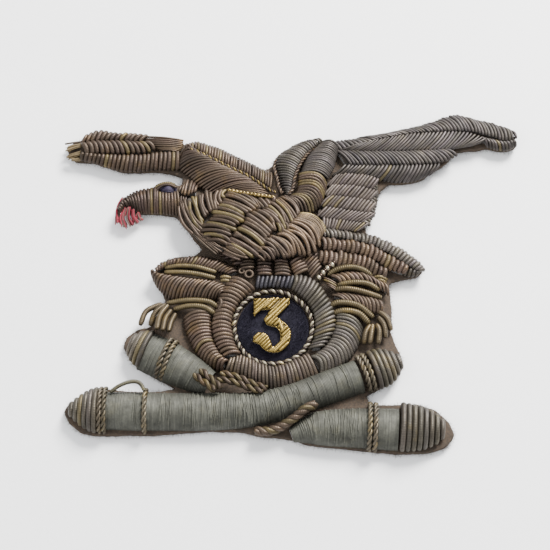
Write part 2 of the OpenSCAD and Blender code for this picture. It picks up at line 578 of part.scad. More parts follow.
module core_rear_barrel() {
  color(cotton) {
    barrel_core(rear_axis_left);
    barrel_core(rear_axis_right);
  }
}

// Bare felt and string at the wing tip, where the wire has been lost.
module tip_padding() {
  color([0.73, 0.66, 0.5]) {
    cord_over([[-41.7, 42, z0 + 0.75], [-43, 41.6, z0 + 0.8], [-44.2, 41.2, z0 + 0.7]], 0.6);
    cord_over([[-41.6, 40.6, z0 + 0.75], [-43, 40, z0 + 0.8], [-44, 39.7, z0 + 0.7]], 0.6);
    cord_over([[-41.4, 39.1, z0 + 0.65], [-42.3, 38.8, z0 + 0.7], [-43.2, 38.8, z0 + 0.65]], 0.6);
    cord_over([[-41.8, 43.5, z0 + 0.5], [-43.6, 43.1, z0 + 0.7], [-45.2, 42.9, z0 + 0.6]], 0.2);
  }
}

// ---------- disc ----------

module velvet_disc() {
  color([0.1, 0.1, 0.14])
    translate([0, 0, z0])
      cylinder(h = 0.7, r = disc_r, $fn = 96);
}

// A round-headed numeral three with a flat top, as a closed outline.
three = concat(
  [[-3.9, 6], [3.3, 6], [3.3, 5], [0.7, 2.2]],
  [for (a = [75 : -15 : -150]) [0.2 + 3.3 * cos(a), -2.1 + 3.6 * sin(a)]],
  [for (a = [190 : -30 : 10]) [-2.4 + 1.6 * cos(a), -3.1 + 1.55 * sin(a)]],
  [for (a = [250 : 20 : 430]) [0.2 + 1.45 * cos(a), -2.3 + 2.3 * sin(a)]],
  [[-1.2, 0.4], [-1.8, 1.5], [0, 3.9], [-2.8, 3.7], [-3.8, 2.3]]
);

module numeral_card() {
  color([0.6, 0.55, 0.4])
    translate([0, 0, z0 + 0.72])
      linear_extrude(card_t)
        polygon(three);
}

// Straight wire lengths laid slantwise, side by side, over the card.
module numeral_purl() {
  base = z0 + 0.76 + card_t;
  color(gold)
    intersection() {
      translate([0, 0, base - 0.1])
        linear_extrude(0.8)
          polygon(three);
      union() {
        for (k = [-12 : 12]) {
          translate([0.42 * k, -0.3 - 0.42 * k, base + 0.25])
            rotate([0, 0, 45])
              rotate([0, 90, 0])
                translate([0, 0, -9])
                  cylinder(h = 18, r = 0.25, $fn = 24);
        }
      }
    }
}

module disc_rope() {
  color(gold)
    translate([0, 0, z0 + rope_r + 0.02])
      rotate_extrude($fn = 96)
        translate([rope_ring_r, 0])
          circle(rope_r, $fn = 24);
}

// ---------- eagle, left wing and head ----------

module left_wing_row_1() {
  color(brown)
    purl_row(lw_1a, lw_1b, 13, seat, 1, 0.75, [0.15, 0.25]);
}

module left_wing_row_2() {
  color(brown)
    purl_row(lw_2a, lw_2b, 14, 1, 1, 0.8, [0.3, 0.25]);
}

module left_wing_row_3() {
  color(brown)
    purl_row(lw_3a, lw_3b, 24, 1, seat, 0.85, [0.15, 0.1]);
}

module left_wing_smooth() {
  color(brown)
    purl_row(smooth_a, smooth_b, 8, 0.6, 0.7, 0.7, [0.2, 0.3]);
}

module left_shoulder_short() {
  color(brown)
    purl_row(short_a, short_b, 32, seat, 1.5, 0.8, [0.1, 0.1]);
}

module left_shoulder_long() {
  color(brown)
    purl_row(long_a, long_b, 26, 0.5, 1.6, 1, [-0.2, 0.8], share = 0.32);
}

module left_spine_cord() {
  color(gold)
    cord_over([for (i = [0 : 5]) up(left_spine[i], z0 + 2.1 + 0.1 * max(0, i - 3))], 0.3);
}

module left_shoulder_pearls() {
  color(gold)
    for (p = even([[-9.2, 30], [-5, 29.2], [0, 28.4]], 12)) {
      translate(up(p, z0 + 3.4))
        sphere(0.3, $fn = 24);
    }
}

module head_purls() {
  color(brown) {
    purl_row(beak_a, beak_b, 14, seat, seat, 1.9);
    purl_row(cheek_a, cheek_b, 8, 1.6, seat, 1.2);
    purl_row([[-19.3, 30.6], [-18.2, 29.6]], [[-18.9, 25.4], [-17.6, 24.8]], 3, 1.2, 0.5, 0.9,
      [-0.3, 0]);
    purl([-25, 32.5], [-20.6, 32.9], 0.6, 0.8, 0.3, 0.3, [0, 0.6]);
    purl([-24.6, 31.6], [-20.4, 31.9], 1.6, 1.6, 0.3, 0.22, [0, 0.6]);
  }
}

module nape_purls() {
  color(brown)
    purl_row(nape_a, nape_b, 6, 0.8, 1.9, 0.7);
}

// Crimson thread tongue that hangs out of the beak.
module tongue() {
  color([0.55, 0.2, 0.28]) {
    cord_over([[-32.2, 27.8, z0 + 1.2], [-32.9, 26.2, z0 + 0.7], [-32.7, 24.6, z0 + 0.4]], 0.36);
    cord_over([[-31.4, 26, z0 + 0.8], [-31.8, 24.8, z0 + 0.7], [-31.2, 23.3, z0 + 0.5]], 0.4);
    cord_over([[-30.5, 26.4, z0 + 0.9], [-30.7, 25, z0 + 0.8], [-30, 23.6, z0 + 0.5]], 0.38);
    cord_over([[-29.5, 26, z0 + 0.9], [-29.6, 25.2, z0 + 0.8], [-28.9, 24.2, z0 + 0.5]], 0.36);
    cord_over([[-28.5, 25.6, z0 + 0.7], [-28.4, 25.2, z0 + 0.6], [-28, 24.7, z0 + 0.5]], 0.3);
  }
}

module eye() {
  color([0.16, 0.13, 0.25])
    translate([-22.3, 31.7, z0])
      intersection() {
        translate([0, 0, -1.4])
          sphere(3, $fn = 64);
        translate([-1.7, -1.05, 0])
          cube([3.4, 2.1, 1.6]);
      }
}

// ---------- eagle, body ----------

module neck_purls() {
  color(brown)
    breast_row([[-17.8, 28.6], [-16.6, 29.6], [-15.2, 30], [-13.4, 30], [-11.4, 30],
      [-10.2, 29.6]],
      [[-14.6, 22.8], [-14, 24.1], [-13.3, 25.4], [-12.3, 26.2], [-11.2, 27], [-9.9, 27.6]],
      9, [-0.25, -0.2], 0.36);
}

module breast_purls() {
  color(brown) {
    breast_row([[-9.4, 29], [-10, 27.6], [-10.8, 26.4], [-12, 25], [-13.2, 23.4], [-14, 22],
      [-14.6, 20.6], [-14.2, 19.2]],
      [[-3.6, 26.4], [-4.8, 25.4], [-5.8, 24.2], [-6.9, 22.9], [-7.8, 21.6], [-8.7, 20.4],
        [-9.5, 19.2], [-9.9, 17.9]], 12, [0.2, 0.4], 0.36);
    breast_row([[-2.4, 25.6], [-4, 24.5], [-5.2, 23.3], [-6.4, 22.1], [-7.4, 20.9],
      [-8.4, 19.7], [-9.1, 18.5], [-9.5, 17.2]],
      [[1, 22.7], [0.5, 21.6], [-0.4, 20.6], [-1, 19.4], [-1.5, 18.2], [-2.1, 17],
        [-2.8, 15.8], [-5.4, 14.6]], 11, [0.3, 0.3], 0.36);
    breast_row([[2, 29], [0.6, 28.3], [-0.8, 27.4], [-1.7, 26.3]],
      [[4.9, 25.2], [4.3, 23.9], [3.2, 22.6], [1.9, 21.2]], 7, [0.55, 0.5], 0.34);
    breast_row([[-1.2, 28], [-3, 28.2], [-5.2, 28.6], [-7.4, 29]],
      [[-0.4, 27], [-2, 26.5], [-3.1, 26.5], [-4.2, 27]], 4, [0.1, 0.1], 0.36);
    breast_row([[0.1, 22.5], [1, 22.1], [2, 21.6]], [[0.8, 20.5], [1.7, 20.6], [2.7, 20.8]],
      3, [0.3, 0.2], 0.36);
  }
}

module belly_purls() {
  color(brown) {
    breast_row([[-0.6, 19.2], [-1.2, 17.9], [-2, 16.6], [-4, 15.2]],
      [[3.4, 15], [2.2, 14.7], [0.6, 14.5], [-2, 14.2]], 6, [0.4, 0.4]);
    breast_row([[-9.8, 17.2], [-9.9, 16.6], [-9.4, 15.5]],
      [[-5.6, 15], [-6.1, 14.6], [-6.6, 14.1]], 3, [-0.2, -0.2]);
  }
}

module flank_purls() {
  color(brown) {
    breast_row([[-19.6, 27.2], [-18.8, 28], [-18, 28.4]],
      [[-16.8, 20.6], [-16.1, 21.3], [-15.4, 22.2]], 4, [-0.7, -0.4], 0.36);
    breast_row([[-16.6, 20.2], [-15.7, 20], [-15, 19.6]],
      [[-11.6, 15.9], [-11, 16.6], [-10.6, 17.3]], 4, [-0.4, -0.3], 0.36);
  }
}

module thigh_purls() {
  color(brown) {
    breast_row([[4, 23], [3, 22.1], [2.2, 20.9], [1.2, 19.8], [-0.2, 19.2]],
      [[9.4, 17.9], [8.6, 16.8], [6.8, 15.6], [5.4, 15], [3.9, 14.8]], 9, [1.1, 0.9], 0.3);
    breast_row([[5.2, 25], [4.9, 24.4], [4.6, 23.8]], [[11.2, 21.4], [10.6, 20.5], [9.9, 19.4]],
      5, [1.2, 1.2], 0.26);
  }
}

// ---------- eagle, right wing ----------

module arm_leading_purls() {
  color(grey)
    purl_row(arm_a, arm_b, 30, 0.9, 2, 0.9, [0.1, 0.3]);
}

module arm_fan_purls() {
  color(brown)
    purl_row(fan_a, fan_b, 13, 2.1, 1.5, 1.2, [1, 1.1], share = 0.26);
}

module arm_smooth_purls() {
  color(grey) {
    purl_row(silk_a, silk_b, 18, 1.6, 1.2, 1.3, [0.4, 0.8], share = 0.34);
    purl_row(shoulder_a, shoulder_b, 9, seat, 1.1, 0.5);
  }
}

module arm_cords() {
  color(gold) {
    cord_over(arm_cord_1, 0.32);
    cord_over(arm_cord_2, 0.32);
  }
}

module right_wing_row_1() {
  color(grey)
    purl_row(rw_1a, rw_1b, 42, seat, 1, 0.85, [0.35, 0.3]);
}

module right_wing_row_2() {
  color(grey)
    purl_row(rw_2a, rw_2b, 35, 1, 0.9, 0.85, [0.35, -0.25]);
}

module right_wing_row_3() {
  color(grey)
    purl_row(rw_3a, rw_3b, 29, 1, 1, 0.85, [0.35, 0.25]);
}

module right_wing_row_4() {
  color(grey)
    purl_row(rw_4a, rw_4b, 26, 1, seat, 0.85, [0.3, -0.25]);
}

module right_wing_tip() {
  color(grey)
    purl_row(rw_tip_a, rw_tip_b, 10, 0.9, seat, 0.7, [0.25, 0.1]);
}

// Five short rows of fine purls that overlap like basket work.
module secondary_purls() {
  color(grey)
    for (k = [0 : 4]) {
      purl_row(rungs[k], rungs[k + 1], 16, 0.95, 0.95, 0.35, [0.05, 0.05],
        [0.13 - 0.02 * (k % 2), 1, 0, 0.87], 0.09);
    }
}

module tail_row_upper() {
  color(grey)
    purl_row(tail_1a, tail_1b, 27, seat, 1.1, 0.8, [0.3, 0.05]);
}

module tail_row_lower() {
  color(grey) {
    purl_row(tail_2a, tail_2b, 19, 1.1, 1.1, 0.75, [0.4, 0.1]);
    purl_row(tail_3a, tail_3b, 15, 1.1, 0.8, 0.8, [0.3, 0.1]);
    purl_row(tail_4a, tail_4b, 4, 0.9, seat, 0.5);
  }
}

// ---------- horn ring ----------

module ring_left_purls() {
  color(brown) {
    purl_row(ring_1a, ring_1b, 21, 1.2, 1.2, ring_crown, [0, 0.3]);
    purl_row(ring_2a, ring_2b, 18, 1.3, seat, ring_crown, [-0.4, 0.5]);
  }
}

module ring_right_purls() {
  color(grey) {
    purl_row(ring_4a, ring_4b, 21, 1.2, 1.2, ring_crown, [0.35, -0.1], [0, 1, 0, 0.96]);
    purl_row(ring_5a, ring_5b, 17, 1.3, 0.4, ring_crown, [0.8, 0.6], share = 0.38);
  }
}

module ring_bottom_purls() {
  color(brown) {
    purl_row(ring_3a, ring_3b, 25, 1.2, 0.4, ring_crown, [0.1, 0]);
    purl_row(ring_6a, ring_6b, 9, 1.2, 1.2, 0.5);
  }
}

// ---------- legs ----------

module leg_purls() {
  color(brown) {
    purl_row([[-3.3, 14.1], [-3.2, 11.8]], [[-0.4, 14.1], [-0.3, 11.7]], 4, 1.5, 1.5, 0.5);
    purl_row([[0.3, 14], [0.4, 11.7]], [[3, 13.8], [3.5, 11.5]], 4, 1.5, 1.5, 0.5, [0, 0.15]);
    purl_row([[3.9, 13.7], [4.7, 11.5]], [[6.2, 15.2], [7.1, 12.9]], 4, 1.5, 1.5, 0.5);
    purl_row([[6.9, 14.4], [8, 11]], [[9, 17], [9.9, 13.6]], 5, 1.5, 1.5, 0.5, share = 0.38);
    purl_row([[-6.8, 14.3], [-6.6, 13.1]], [[-4, 14.5], [-3.9, 13.3]], 2, 1.5, 1.5, 0.4);
    purl_row([[-10.6, 15.6], [-9.6, 15], [-8.6, 14.2]], [[-7, 15.7], [-6.6, 15], [-6.6, 14.6]],
      3, 1, 1.3, 0.3, share = 0.34);
    claw_loop([-4.8, 11.6], 0.72, 0.3);
    claw_loop([-6.6, 12.1], 0.5, 0.24);
  }
}

module claw_loop(c, big, thin) {
  translate([c[0], c[1], z0 + 1.5])
    rotate_extrude($fn = 48)
      translate([big, 0])
        circle(thin, $fn = 24);
}

module leg_pearls() {
  color([0.8, 0.76, 0.62])
    for (p = [[9.5, 10.7], [10.4, 11.8], [11.3, 12.8], [12.3, 13.6]]) {
      translate(up(p, z0 + 1.75))
        sphere(0.42, $fn = 32);
    }
}

// ---------- leaves, ties and tassels ----------

module left_leaf_purls() {
  color(brown) {
    purl_row(leaf_1a, leaf_1b, 25, seat, 1.2, 0.8, [0.2, 0.2], [0.05, 1, 0, 0.95]);
    purl_row(leaf_2a, leaf_2b, 23, 1.2, 0.4, 1.3, [-0.4, 0.4]);
    purl([-22.4, 12.9], [-12.4, 11.9], 1.3, 1.5, 0.7, 0.36, [0, 0.5]);
    purl([-22.6, 11.9], [-12.4, 10.7], 1.3, 1.5, 0.7, 0.36, [0, 0.1]);
    purl([-10.7, 11.1], [-8.7, 10.9], 1.4, 1.4, 0.3, 0.32);
    purl([-10.7, 10.2], [-8.7, 10], 1.4, 1.4, 0.3, 0.32);
  }
}

// A single stout purl, its heights given over the felt.
module vein(guide, r) {
  cord_over([for (p = guide) [p[0], p[1], z0 + p[2]]], r);
}

// Stout purls that bind the leaf to the horn.
module left_tie_purls() {
  color(gold) {
    vein([[-21.9, 5.2, 1], [-17.7, 5.5, 1.9], [-13.5, 5.1, 2.3], [-11.4, 4.1, 1.7]], 0.44);
    vein([[-20.5, 3.8, 1], [-17.4, 4.3, 1.8], [-14.3, 3.9, 2.2], [-12, 2.7, 1.7]], 0.44);
    vein([[-10.9, 5.8, 2.5], [-10.6, 4.6, 2.8], [-11, 3.2, 2.5]], 0.34);
  }
}

module right_leaf_purls() {
  color(brown) {
    purl_row(bell_1a, bell_1b, 11, 1.2, 1.2, 0.6, [0.3, 0.2]);
    purl_row(bell_2a, bell_2b, 9, 1.2, 1.1, 0.7, [0.4, 0.3]);
    purl_row([[10.6, 10.6], [11.2, 9.6]], [[12.6, 9.2], [12.9, 8.6]], 2, 1.2, 1.3, 0.4);
    purl([11.3, 11.8], [20.2, 11.6], 1, 1, 0.9, 0.36, [0.2, 1.5]);
    purl([21, 11.3], [23.7, 10.8], 1.1, 1, 0.4, 0.3);
    purl([21.9, 10.5], [23.6, 10.1], 1.1, 1, 0.3, 0.26);
    purl([13.4, 9.4], [21.9, 8], 1.2, 1.3, 0.8, 0.34, [0, 0.6]);
    purl([12.8, 8.1], [22, 6.3], 1.2, 1.3, 0.7, 0.34, [0, 0.6]);
    purl([11.6, 4.2], [20.6, 1.9], 1.2, 1.3, 0.9, 0.4, [0, 0.8]);
    purl([12.4, 2.9], [19.7, 0.6], 1.2, 1.3, 0.9, 0.42, [0, 0.9]);
  }
}

module tassels() {
  color(gold) {
    vein([[-22.3, 4.6, 1.2], [-24.2, 2.9, 1.6], [-25.2, 0.2, 1]], 0.36);
    vein([[-21.6, 4.2, 1.9], [-23.1, 1.9, 2.4], [-23.6, -1.4, 3.3]], 0.36);
    vein([[-20.9, 2.9, 1.9], [-22, 1.2, 2.4], [-22.4, -1.8, 3.5]], 0.34);
    vein([[-20, 2.2, 1.7], [-20.8, 0.6, 2.2], [-21.2, -1.9, 3.4]], 0.34);
    vein([[-23.4, 4.8, 0.7], [-25.6, 3, 1.2], [-26.4, 0.4, 1.5]], 0.34);
    vein([[19.4, -0.2, 1.4], [18.9, -1.7, 1.8], [18.5, -3.9, 1.4]], 0.34);
    vein([[20.2, -0.3, 1.7], [20.1, -1.7, 1.9], [19.7, -4, 1.6]], 0.34);
    vein([[21.2, 0.3, 1.6], [21.7, -1.4, 1.9], [21.4, -4, 1.6]], 0.36);
    vein([[21.6, 1.6, 1.6], [22.7, 0, 1.7], [23, -2.5, 1.3]], 0.34);
    vein([[21.8, 3, 1.3], [23.4, 1.6, 1.4], [24.2, -0.8, 1]], 0.34);
  }
}

// ---------- gun barrels ----------

module barrel_windings() {
  color(grey) {
    barrel_winding(front_axis);
    barrel_winding(rear_axis_left);
    barrel_winding(rear_axis_right);
  }
}

// Single and double rings that stand round the barrels.
module barrel_bands() {
  color(gold) {
    hoop([-34.6, -17.9], dir_front_left, 4.7, 3.7, 0.42);
    hoop([-33.7, -17.9], dir_front_left, 4.7, 3.7, 0.4);
    hoop([-25.6, -18.1], dir_front_left, 4.5, 3.85, 0.3);
    hoop([18.3, -10.2], dir_front_right, 4, 3.7, 0.4);
    hoop([19.3, -9.85], dir_front_right, 4, 3.7, 0.4);
    hoop([-22.1, -6.7], dir_rear_left, 4.45, 3.5, 0.3);
    hoop([-21.1, -7.2], dir_rear_left, 4.4, 3.5, 0.3);
    hoop([19.3, -21.4], dir_rear_right, 5, 3.95, 0.4);
    hoop([20.4, -21.5], dir_rear_right, 5, 3.95, 0.4);
  }
}

// The rounded muzzles and breeches, built of ever smaller rings.
module barrel_end_rings() {
  color(brown) {
    hoops([-35.6, -17.9], dir_front_left, 0.95,
      [[4.6, 3.6], [4.3, 3.4], [3.8, 3], [3.2, 2.5], [2.4, 2], [1.5, 1.4]], 0.44);
    hoops([20.6, -9.35], dir_front_right, 1.05,
      [[4.1, 3.6], [4.1, 3.5], [3.9, 3.2], [3.4, 2.8], [2.6, 2.2], [1.6, 1.5]], 0.44);
    hoops([-26, -4.85], dir_rear_left, 0.95,
      [[4.1, 3.2], [3.8, 2.9], [3.3, 2.4], [2.4, 1.8]], 0.42);
    hoops([25.9, -21.5], dir_rear_right, 1.12,
      [[4.9, 4], [4.8, 3.9], [4.7, 3.8], [4.5, 3.6], [4.2, 3.3], [3.7, 2.9], [3.1, 2.4],
        [2.1, 1.8]], 0.46);
  }
}

// Bright purls that lash the horn to the barrels.
module rope_ties() {
  color(gold) {
    vein([[-15.8, -11.2, 3.4], [-14.6, -12.4, 3.5], [-12.9, -13.6, 3.6], [-11.6, -14.8, 3.5]],
      0.42);
    vein([[-14.6, -10.2, 3.3], [-13.3, -11.5, 3.5], [-11.9, -12.8, 3.6], [-10.4, -14.2, 3.5]],
      0.42);
    vein([[-9.2, -10.5, 2.6], [-7, -11.5, 2.6], [-4.6, -12.7, 2.6], [-1.6, -13.9, 2.6]], 0.42);
    vein([[-9.6, -11.6, 2.5], [-7.2, -12.6, 2.6], [-4.9, -13.7, 2.6], [-2.5, -14.6, 3]], 0.42);
    vein([[-3.2, -22.4, 1], [-0.8, -22.5, 1.1], [1.8, -21.6, 1.6], [4.4, -20.1, 2.6],
      [6.4, -18.6, 3.4], [8.6, -17.4, 3]], 0.8);
  }
}

module loose_wire_loop() {
  color(gold)
    cord_over([[-32.6, -14.8, z0 + 2.5], [-31, -13.7, z0 + 3], [-29.2, -12.9, z0 + 3.1],
      [-27.6, -12.7, z0 + 3.1], [-26.5, -13.2, z0 + 3], [-25.7, -14.6, z0 + 2.9]], 0.34);
}

backing();
felt_ground();
pad_left_wing();
pad_head();
pad_body();
pad_arm();
pad_right_wing();
pad_tail();
pad_ring();
pad_leaves();
core_front_barrel();
core_rear_barrel();
tip_padding();
velvet_disc();
numeral_card();
numeral_purl();
disc_rope();
left_wing_row_1();
left_wing_row_2();
left_wing_row_3();
left_wing_smooth();
left_shoulder_short();
left_shoulder_long();
left_spine_cord();
left_shoulder_pearls();
head_purls();
nape_purls();
tongue();
eye();
neck_purls();
breast_purls();
belly_purls();
flank_purls();
thigh_purls();
arm_leading_purls();
arm_fan_purls();
arm_smooth_purls();
arm_cords();
right_wing_row_1();
right_wing_row_2();
right_wing_row_3();
right_wing_row_4();
right_wing_tip();
secondary_purls();
tail_row_upper();
tail_row_lower();
ring_left_purls();
ring_right_purls();
ring_bottom_purls();
leg_purls();
leg_pearls();
left_leaf_purls();
left_tie_purls();
right_leaf_purls();
tassels();
barrel_windings();
barrel_bands();
barrel_end_rings();
rope_ties();
loose_wire_loop();
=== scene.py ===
"""Looks for the embroidered cap badge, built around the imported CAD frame."""

import math

import bpy
import numpy as np
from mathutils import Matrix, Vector
from mathutils.geometry import tessellate_polygon


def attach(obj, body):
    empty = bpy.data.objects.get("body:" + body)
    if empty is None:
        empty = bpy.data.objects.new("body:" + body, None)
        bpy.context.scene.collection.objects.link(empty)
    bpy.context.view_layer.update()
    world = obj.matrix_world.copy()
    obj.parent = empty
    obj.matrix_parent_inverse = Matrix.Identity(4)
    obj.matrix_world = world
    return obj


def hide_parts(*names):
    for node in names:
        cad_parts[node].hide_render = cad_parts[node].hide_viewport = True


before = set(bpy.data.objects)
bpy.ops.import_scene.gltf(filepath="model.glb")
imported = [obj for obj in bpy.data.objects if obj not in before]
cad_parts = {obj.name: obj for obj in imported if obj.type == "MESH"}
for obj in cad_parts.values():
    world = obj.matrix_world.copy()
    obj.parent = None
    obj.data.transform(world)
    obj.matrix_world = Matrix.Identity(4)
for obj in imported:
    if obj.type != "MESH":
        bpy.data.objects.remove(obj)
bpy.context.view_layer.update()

MM = 0.001
FELT_TOP = 1.6
rng = np.random.default_rng(20)
up_z = np.array([0.0, 0.0, 1.0])


# ------------ colours

def linear(r, g, b):
    """An sRGB colour of 0 to 255 as linear values."""
    c = np.array([r, g, b], float) / 255
    return np.where(c <= 0.04045, c / 12.92, ((c + 0.055) / 1.055) ** 2.4)


BROWN = linear(75, 62, 50)
BODY_BROWN = linear(62, 50, 38)
BROWN_DARK = linear(63, 51, 43)
GREY = linear(67, 62, 58)
GREY_DARK = linear(76, 71, 64)
SECONDARY = linear(76, 68, 62)
HORN_GREY = linear(83, 78, 69)
GUN_GREY = linear(80, 80, 71)
BLUE_GREY = linear(56, 54, 58)
OLIVE = linear(108, 95, 58)
GOLD = linear(160, 136, 74)
WORN_GILT = linear(92, 80, 54)
PALE = linear(158, 148, 126)
CRIMSON = linear(150, 38, 56)


# ------------ materials

def new_material(name):
    """A material, its node tree and its shader."""
    m = bpy.data.materials.new(name)
    m.use_nodes = True
    tree = m.node_tree
    shader = next(n for n in tree.nodes if n.type == "BSDF_PRINCIPLED")
    return m, tree, shader


def add(tree, kind, **values):
    """A new node with its settings."""
    n = tree.nodes.new(kind)
    for k, v in values.items():
        setattr(n, k, v)
    return n


def noise(tree, scale, detail=4.0, roughness=0.6):
    """A noise fixed to the piece."""
    n = add(tree, "ShaderNodeTexNoise")
    n.inputs["Scale"].default_value = scale
    n.inputs["Detail"].default_value = detail
    n.inputs["Roughness"].default_value = roughness
    co = add(tree, "ShaderNodeTexCoord")
    tree.links.new(co.outputs["Object"], n.inputs["Vector"])
    return n


def spread(tree, socket, low, high, from_low=0.3, from_high=0.7):
    """A value moved from one range to another."""
    n = add(tree, "ShaderNodeMapRange")
    n.inputs["From Min"].default_value = from_low
    n.inputs["From Max"].default_value = from_high
    n.inputs["To Min"].default_value = low
    n.inputs["To Max"].default_value = high
    tree.links.new(socket, n.inputs["Value"])
    return n.outputs["Result"]


def multiply(tree, a, b):
    n = add(tree, "ShaderNodeMix", data_type="RGBA", blend_type="MULTIPLY")
    n.inputs["Factor"].default_value = 1.0
    tree.links.new(a, n.inputs["A"])
    tree.links.new(b, n.inputs["B"])
    return n.outputs["Result"]


def bump(tree, shader, socket, strength, distance):
    """Relief from a value; distance is in metres."""
    n = add(tree, "ShaderNodeBump")
    n.inputs["Strength"].default_value = strength
    n.inputs["Distance"].default_value = distance
    tree.links.new(socket, n.inputs["Height"])
    tree.links.new(n.outputs["Normal"], shader.inputs["Normal"])


def wire_material(name, metallic, rough_low, rough_high, gilt_patches=0.0):
    """Coiled wire: its colour comes from the tint kept on each vertex, with patchy tarnish."""
    m, tree, shader = new_material(name)
    tint = add(tree, "ShaderNodeAttribute", attribute_name="tint")
    patch = noise(tree, 420, 5)
    grime = spread(tree, patch.outputs["Fac"], 0.62, 1.15)
    fine = noise(tree, 3200, 3)
    speck = spread(tree, fine.outputs["Fac"], 0.82, 1.12)
    colour = multiply(tree, tint.outputs["Color"], grime)
    colour = multiply(tree, colour, speck)
    if gilt_patches:
        worn = noise(tree, 330, 3)
        gold_left = spread(tree, worn.outputs["Fac"], 0.0, gilt_patches, 0.54, 0.68)
        blend = add(tree, "ShaderNodeMix", data_type="RGBA", blend_type="MULTIPLY")
        tree.links.new(gold_left, blend.inputs["Factor"])
        tree.links.new(colour, blend.inputs["A"])
        blend.inputs["B"].default_value = (1.55, 1.42, 0.95, 1)
        colour = blend.outputs["Result"]
    tree.links.new(colour, shader.inputs["Base Color"])
    shader.inputs["Metallic"].default_value = metallic
    tree.links.new(spread(tree, patch.outputs["Fac"], rough_high, rough_low),
                   shader.inputs["Roughness"])
    bump(tree, shader, fine.outputs["Fac"], 0.25, 0.00004)
    return m


def two_tones(tree, socket, low, high, start, end):
    """A colour that runs from low to high as the value runs from start to end."""
    ramp = add(tree, "ShaderNodeValToRGB")
    for stop, place, colour in zip(ramp.color_ramp.elements, (start, end), (low, high)):
        stop.position = place
        stop.color = (*colour, 1)
    tree.links.new(socket, ramp.inputs["Fac"])
    return ramp.outputs["Color"]


def fibre_material(name, low, high, scale, sheen=0.3, strength=0.6):
    """Cloth or thread: two tones mixed by a fine noise, with a fibrous bump."""
    m, tree, shader = new_material(name)
    big = noise(tree, scale * 0.15, 4)
    fine = noise(tree, scale, 6, 0.7)
    tones = two_tones(tree, fine.outputs["Fac"], low, high, 0.32, 0.68)
    shade = spread(tree, big.outputs["Fac"], 0.75, 1.15)
    tree.links.new(multiply(tree, tones, shade), shader.inputs["Base Color"])
    shader.inputs["Roughness"].default_value = 0.9
    shader.inputs["Sheen Weight"].default_value = sheen
    bump(tree, shader, fine.outputs["Fac"], strength, 0.0002)
    return m


tarnished = wire_material("tarnished_wire", 0.65, 0.36, 0.6, gilt_patches=0.75)
silvered = wire_material("silvered_wire", 0.62, 0.38, 0.62, gilt_patches=0.25)
dull = wire_material("dull_wire", 0.4, 0.55, 0.8, gilt_patches=0.2)
bright = wire_material("bright_wire", 0.9, 0.2, 0.42)
thread = wire_material("thread", 0.0, 0.6, 0.85)
# Padding cotton: soiled, and also darkened as painted shade so that it reads dark in the gaps between
# strands.
cotton = fibre_material("soiled_and_shaded_cotton", linear(34, 28, 24), linear(60, 50, 40), 2600)
felt = fibre_material("felt", linear(36, 29, 22), linear(68, 54, 40), 2400, sheen=0.0)
lining = fibre_material("lining", linear(60, 54, 50), linear(92, 84, 76), 1800, strength=0.4)
velvet = wire_material("velvet", 0.0, 0.9, 1.0)
velvet.node_tree.nodes["Principled BSDF"].inputs["Specular IOR Level"].default_value = 0.2
card = fibre_material("card", linear(120, 104, 70), linear(150, 132, 92), 1500, strength=0.2)


# ------------ mesh tools

laid = []


def lay(points, quads, colours):
    """Adds a mesh in millimetres, with a tint on every vertex, to the piece in work."""
    laid.append((points, quads, colours))


def place(name, me, slot, node=None):
    """Puts a mesh in the scene as a piece, in place of its CAD node if it has one."""
    ob = bpy.data.objects.new(name, me)
    bpy.context.scene.collection.objects.link(ob)
    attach(ob, "root")
    if node:
        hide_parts(node)


def finish(name, slot="brown_wire", material=tarnished, stands_for_node=True):
    """Makes one piece of all that was laid since the last one."""
    starts = np.cumsum([0] + [len(points) for points, _, _ in laid])
    pts = np.concatenate([points for points, _, _ in laid]) * MM
    quads = np.concatenate([q + start for (_, q, _), start in zip(laid, starts)])
    colours = np.concatenate([c for _, _, c in laid])
    laid.clear()
    me = bpy.data.meshes.new(name)
    me.vertices.add(len(pts))
    me.vertices.foreach_set("co", pts.ravel())
    me.loops.add(quads.size)
    me.loops.foreach_set("vertex_index", quads.ravel().astype(np.int32))
    me.polygons.add(len(quads))
    me.polygons.foreach_set("loop_start", np.arange(0, quads.size, 4, dtype=np.int32))
    me.polygons.foreach_set("loop_total", np.full(len(quads), 4, dtype=np.int32))
    me.update(calc_edges=True)
    me.polygons.foreach_set("use_smooth", np.ones(len(quads), dtype=bool))
    layer = me.color_attributes.new("tint", "FLOAT_COLOR", "POINT")
    full = np.concatenate([colours, np.ones((len(colours), 1))], axis=1)
    layer.data.foreach_set("color", full.ravel())
    me.materials.append(material)
    me.validate()
    place(name, me, slot, name if stands_for_node else None)


def running_length(path):
    """The length of a path up to each of its points."""
    return np.concatenate([[0], np.cumsum(np.linalg.norm(np.diff(path, axis=0), axis=1))])


def points_at(path, run, s):
    """The points of a path at running lengths s."""
    return np.stack([np.interp(s, run, column) for column in path.T], axis=1)


def resample(path, turn, per_turn, least):
    """A path in even steps, per_turn of them to each turn of a screw; and its running length."""
    run = running_length(path)
    s = np.linspace(0, run[-1], max(least, int(run[-1] / turn * per_turn)))
    return points_at(path, run, s), s


def smooth_path(points, steps=8):
    """A Catmull-Rom curve through points given in millimetres."""
    p = np.array(points, float)
    p = np.vstack([2 * p[0] - p[1], p, 2 * p[-1] - p[-2]])
    t = np.linspace(0, 1, steps, endpoint=False)[:, None]
    out = []
    for a, b, c, d in zip(p, p[1:], p[2:], p[3:]):
        out.append(0.5 * (2 * b + (c - a) * t + (2 * a - 5 * b + 4 * c - d) * t ** 2
                          + (3 * b - a - 3 * c + d) * t ** 3))
    return np.vstack(out + [p[-2:-1]])


def frames(path, ref=up_z):
    """The outward normal and the side of a path at each of its points."""
    t = np.gradient(path, axis=0)
    t /= np.linalg.norm(t, axis=1, keepdims=True) + 1e-12
    side = np.cross(t, ref)
    side /= np.linalg.norm(side, axis=1, keepdims=True) + 1e-9
    return np.cross(side, t), side


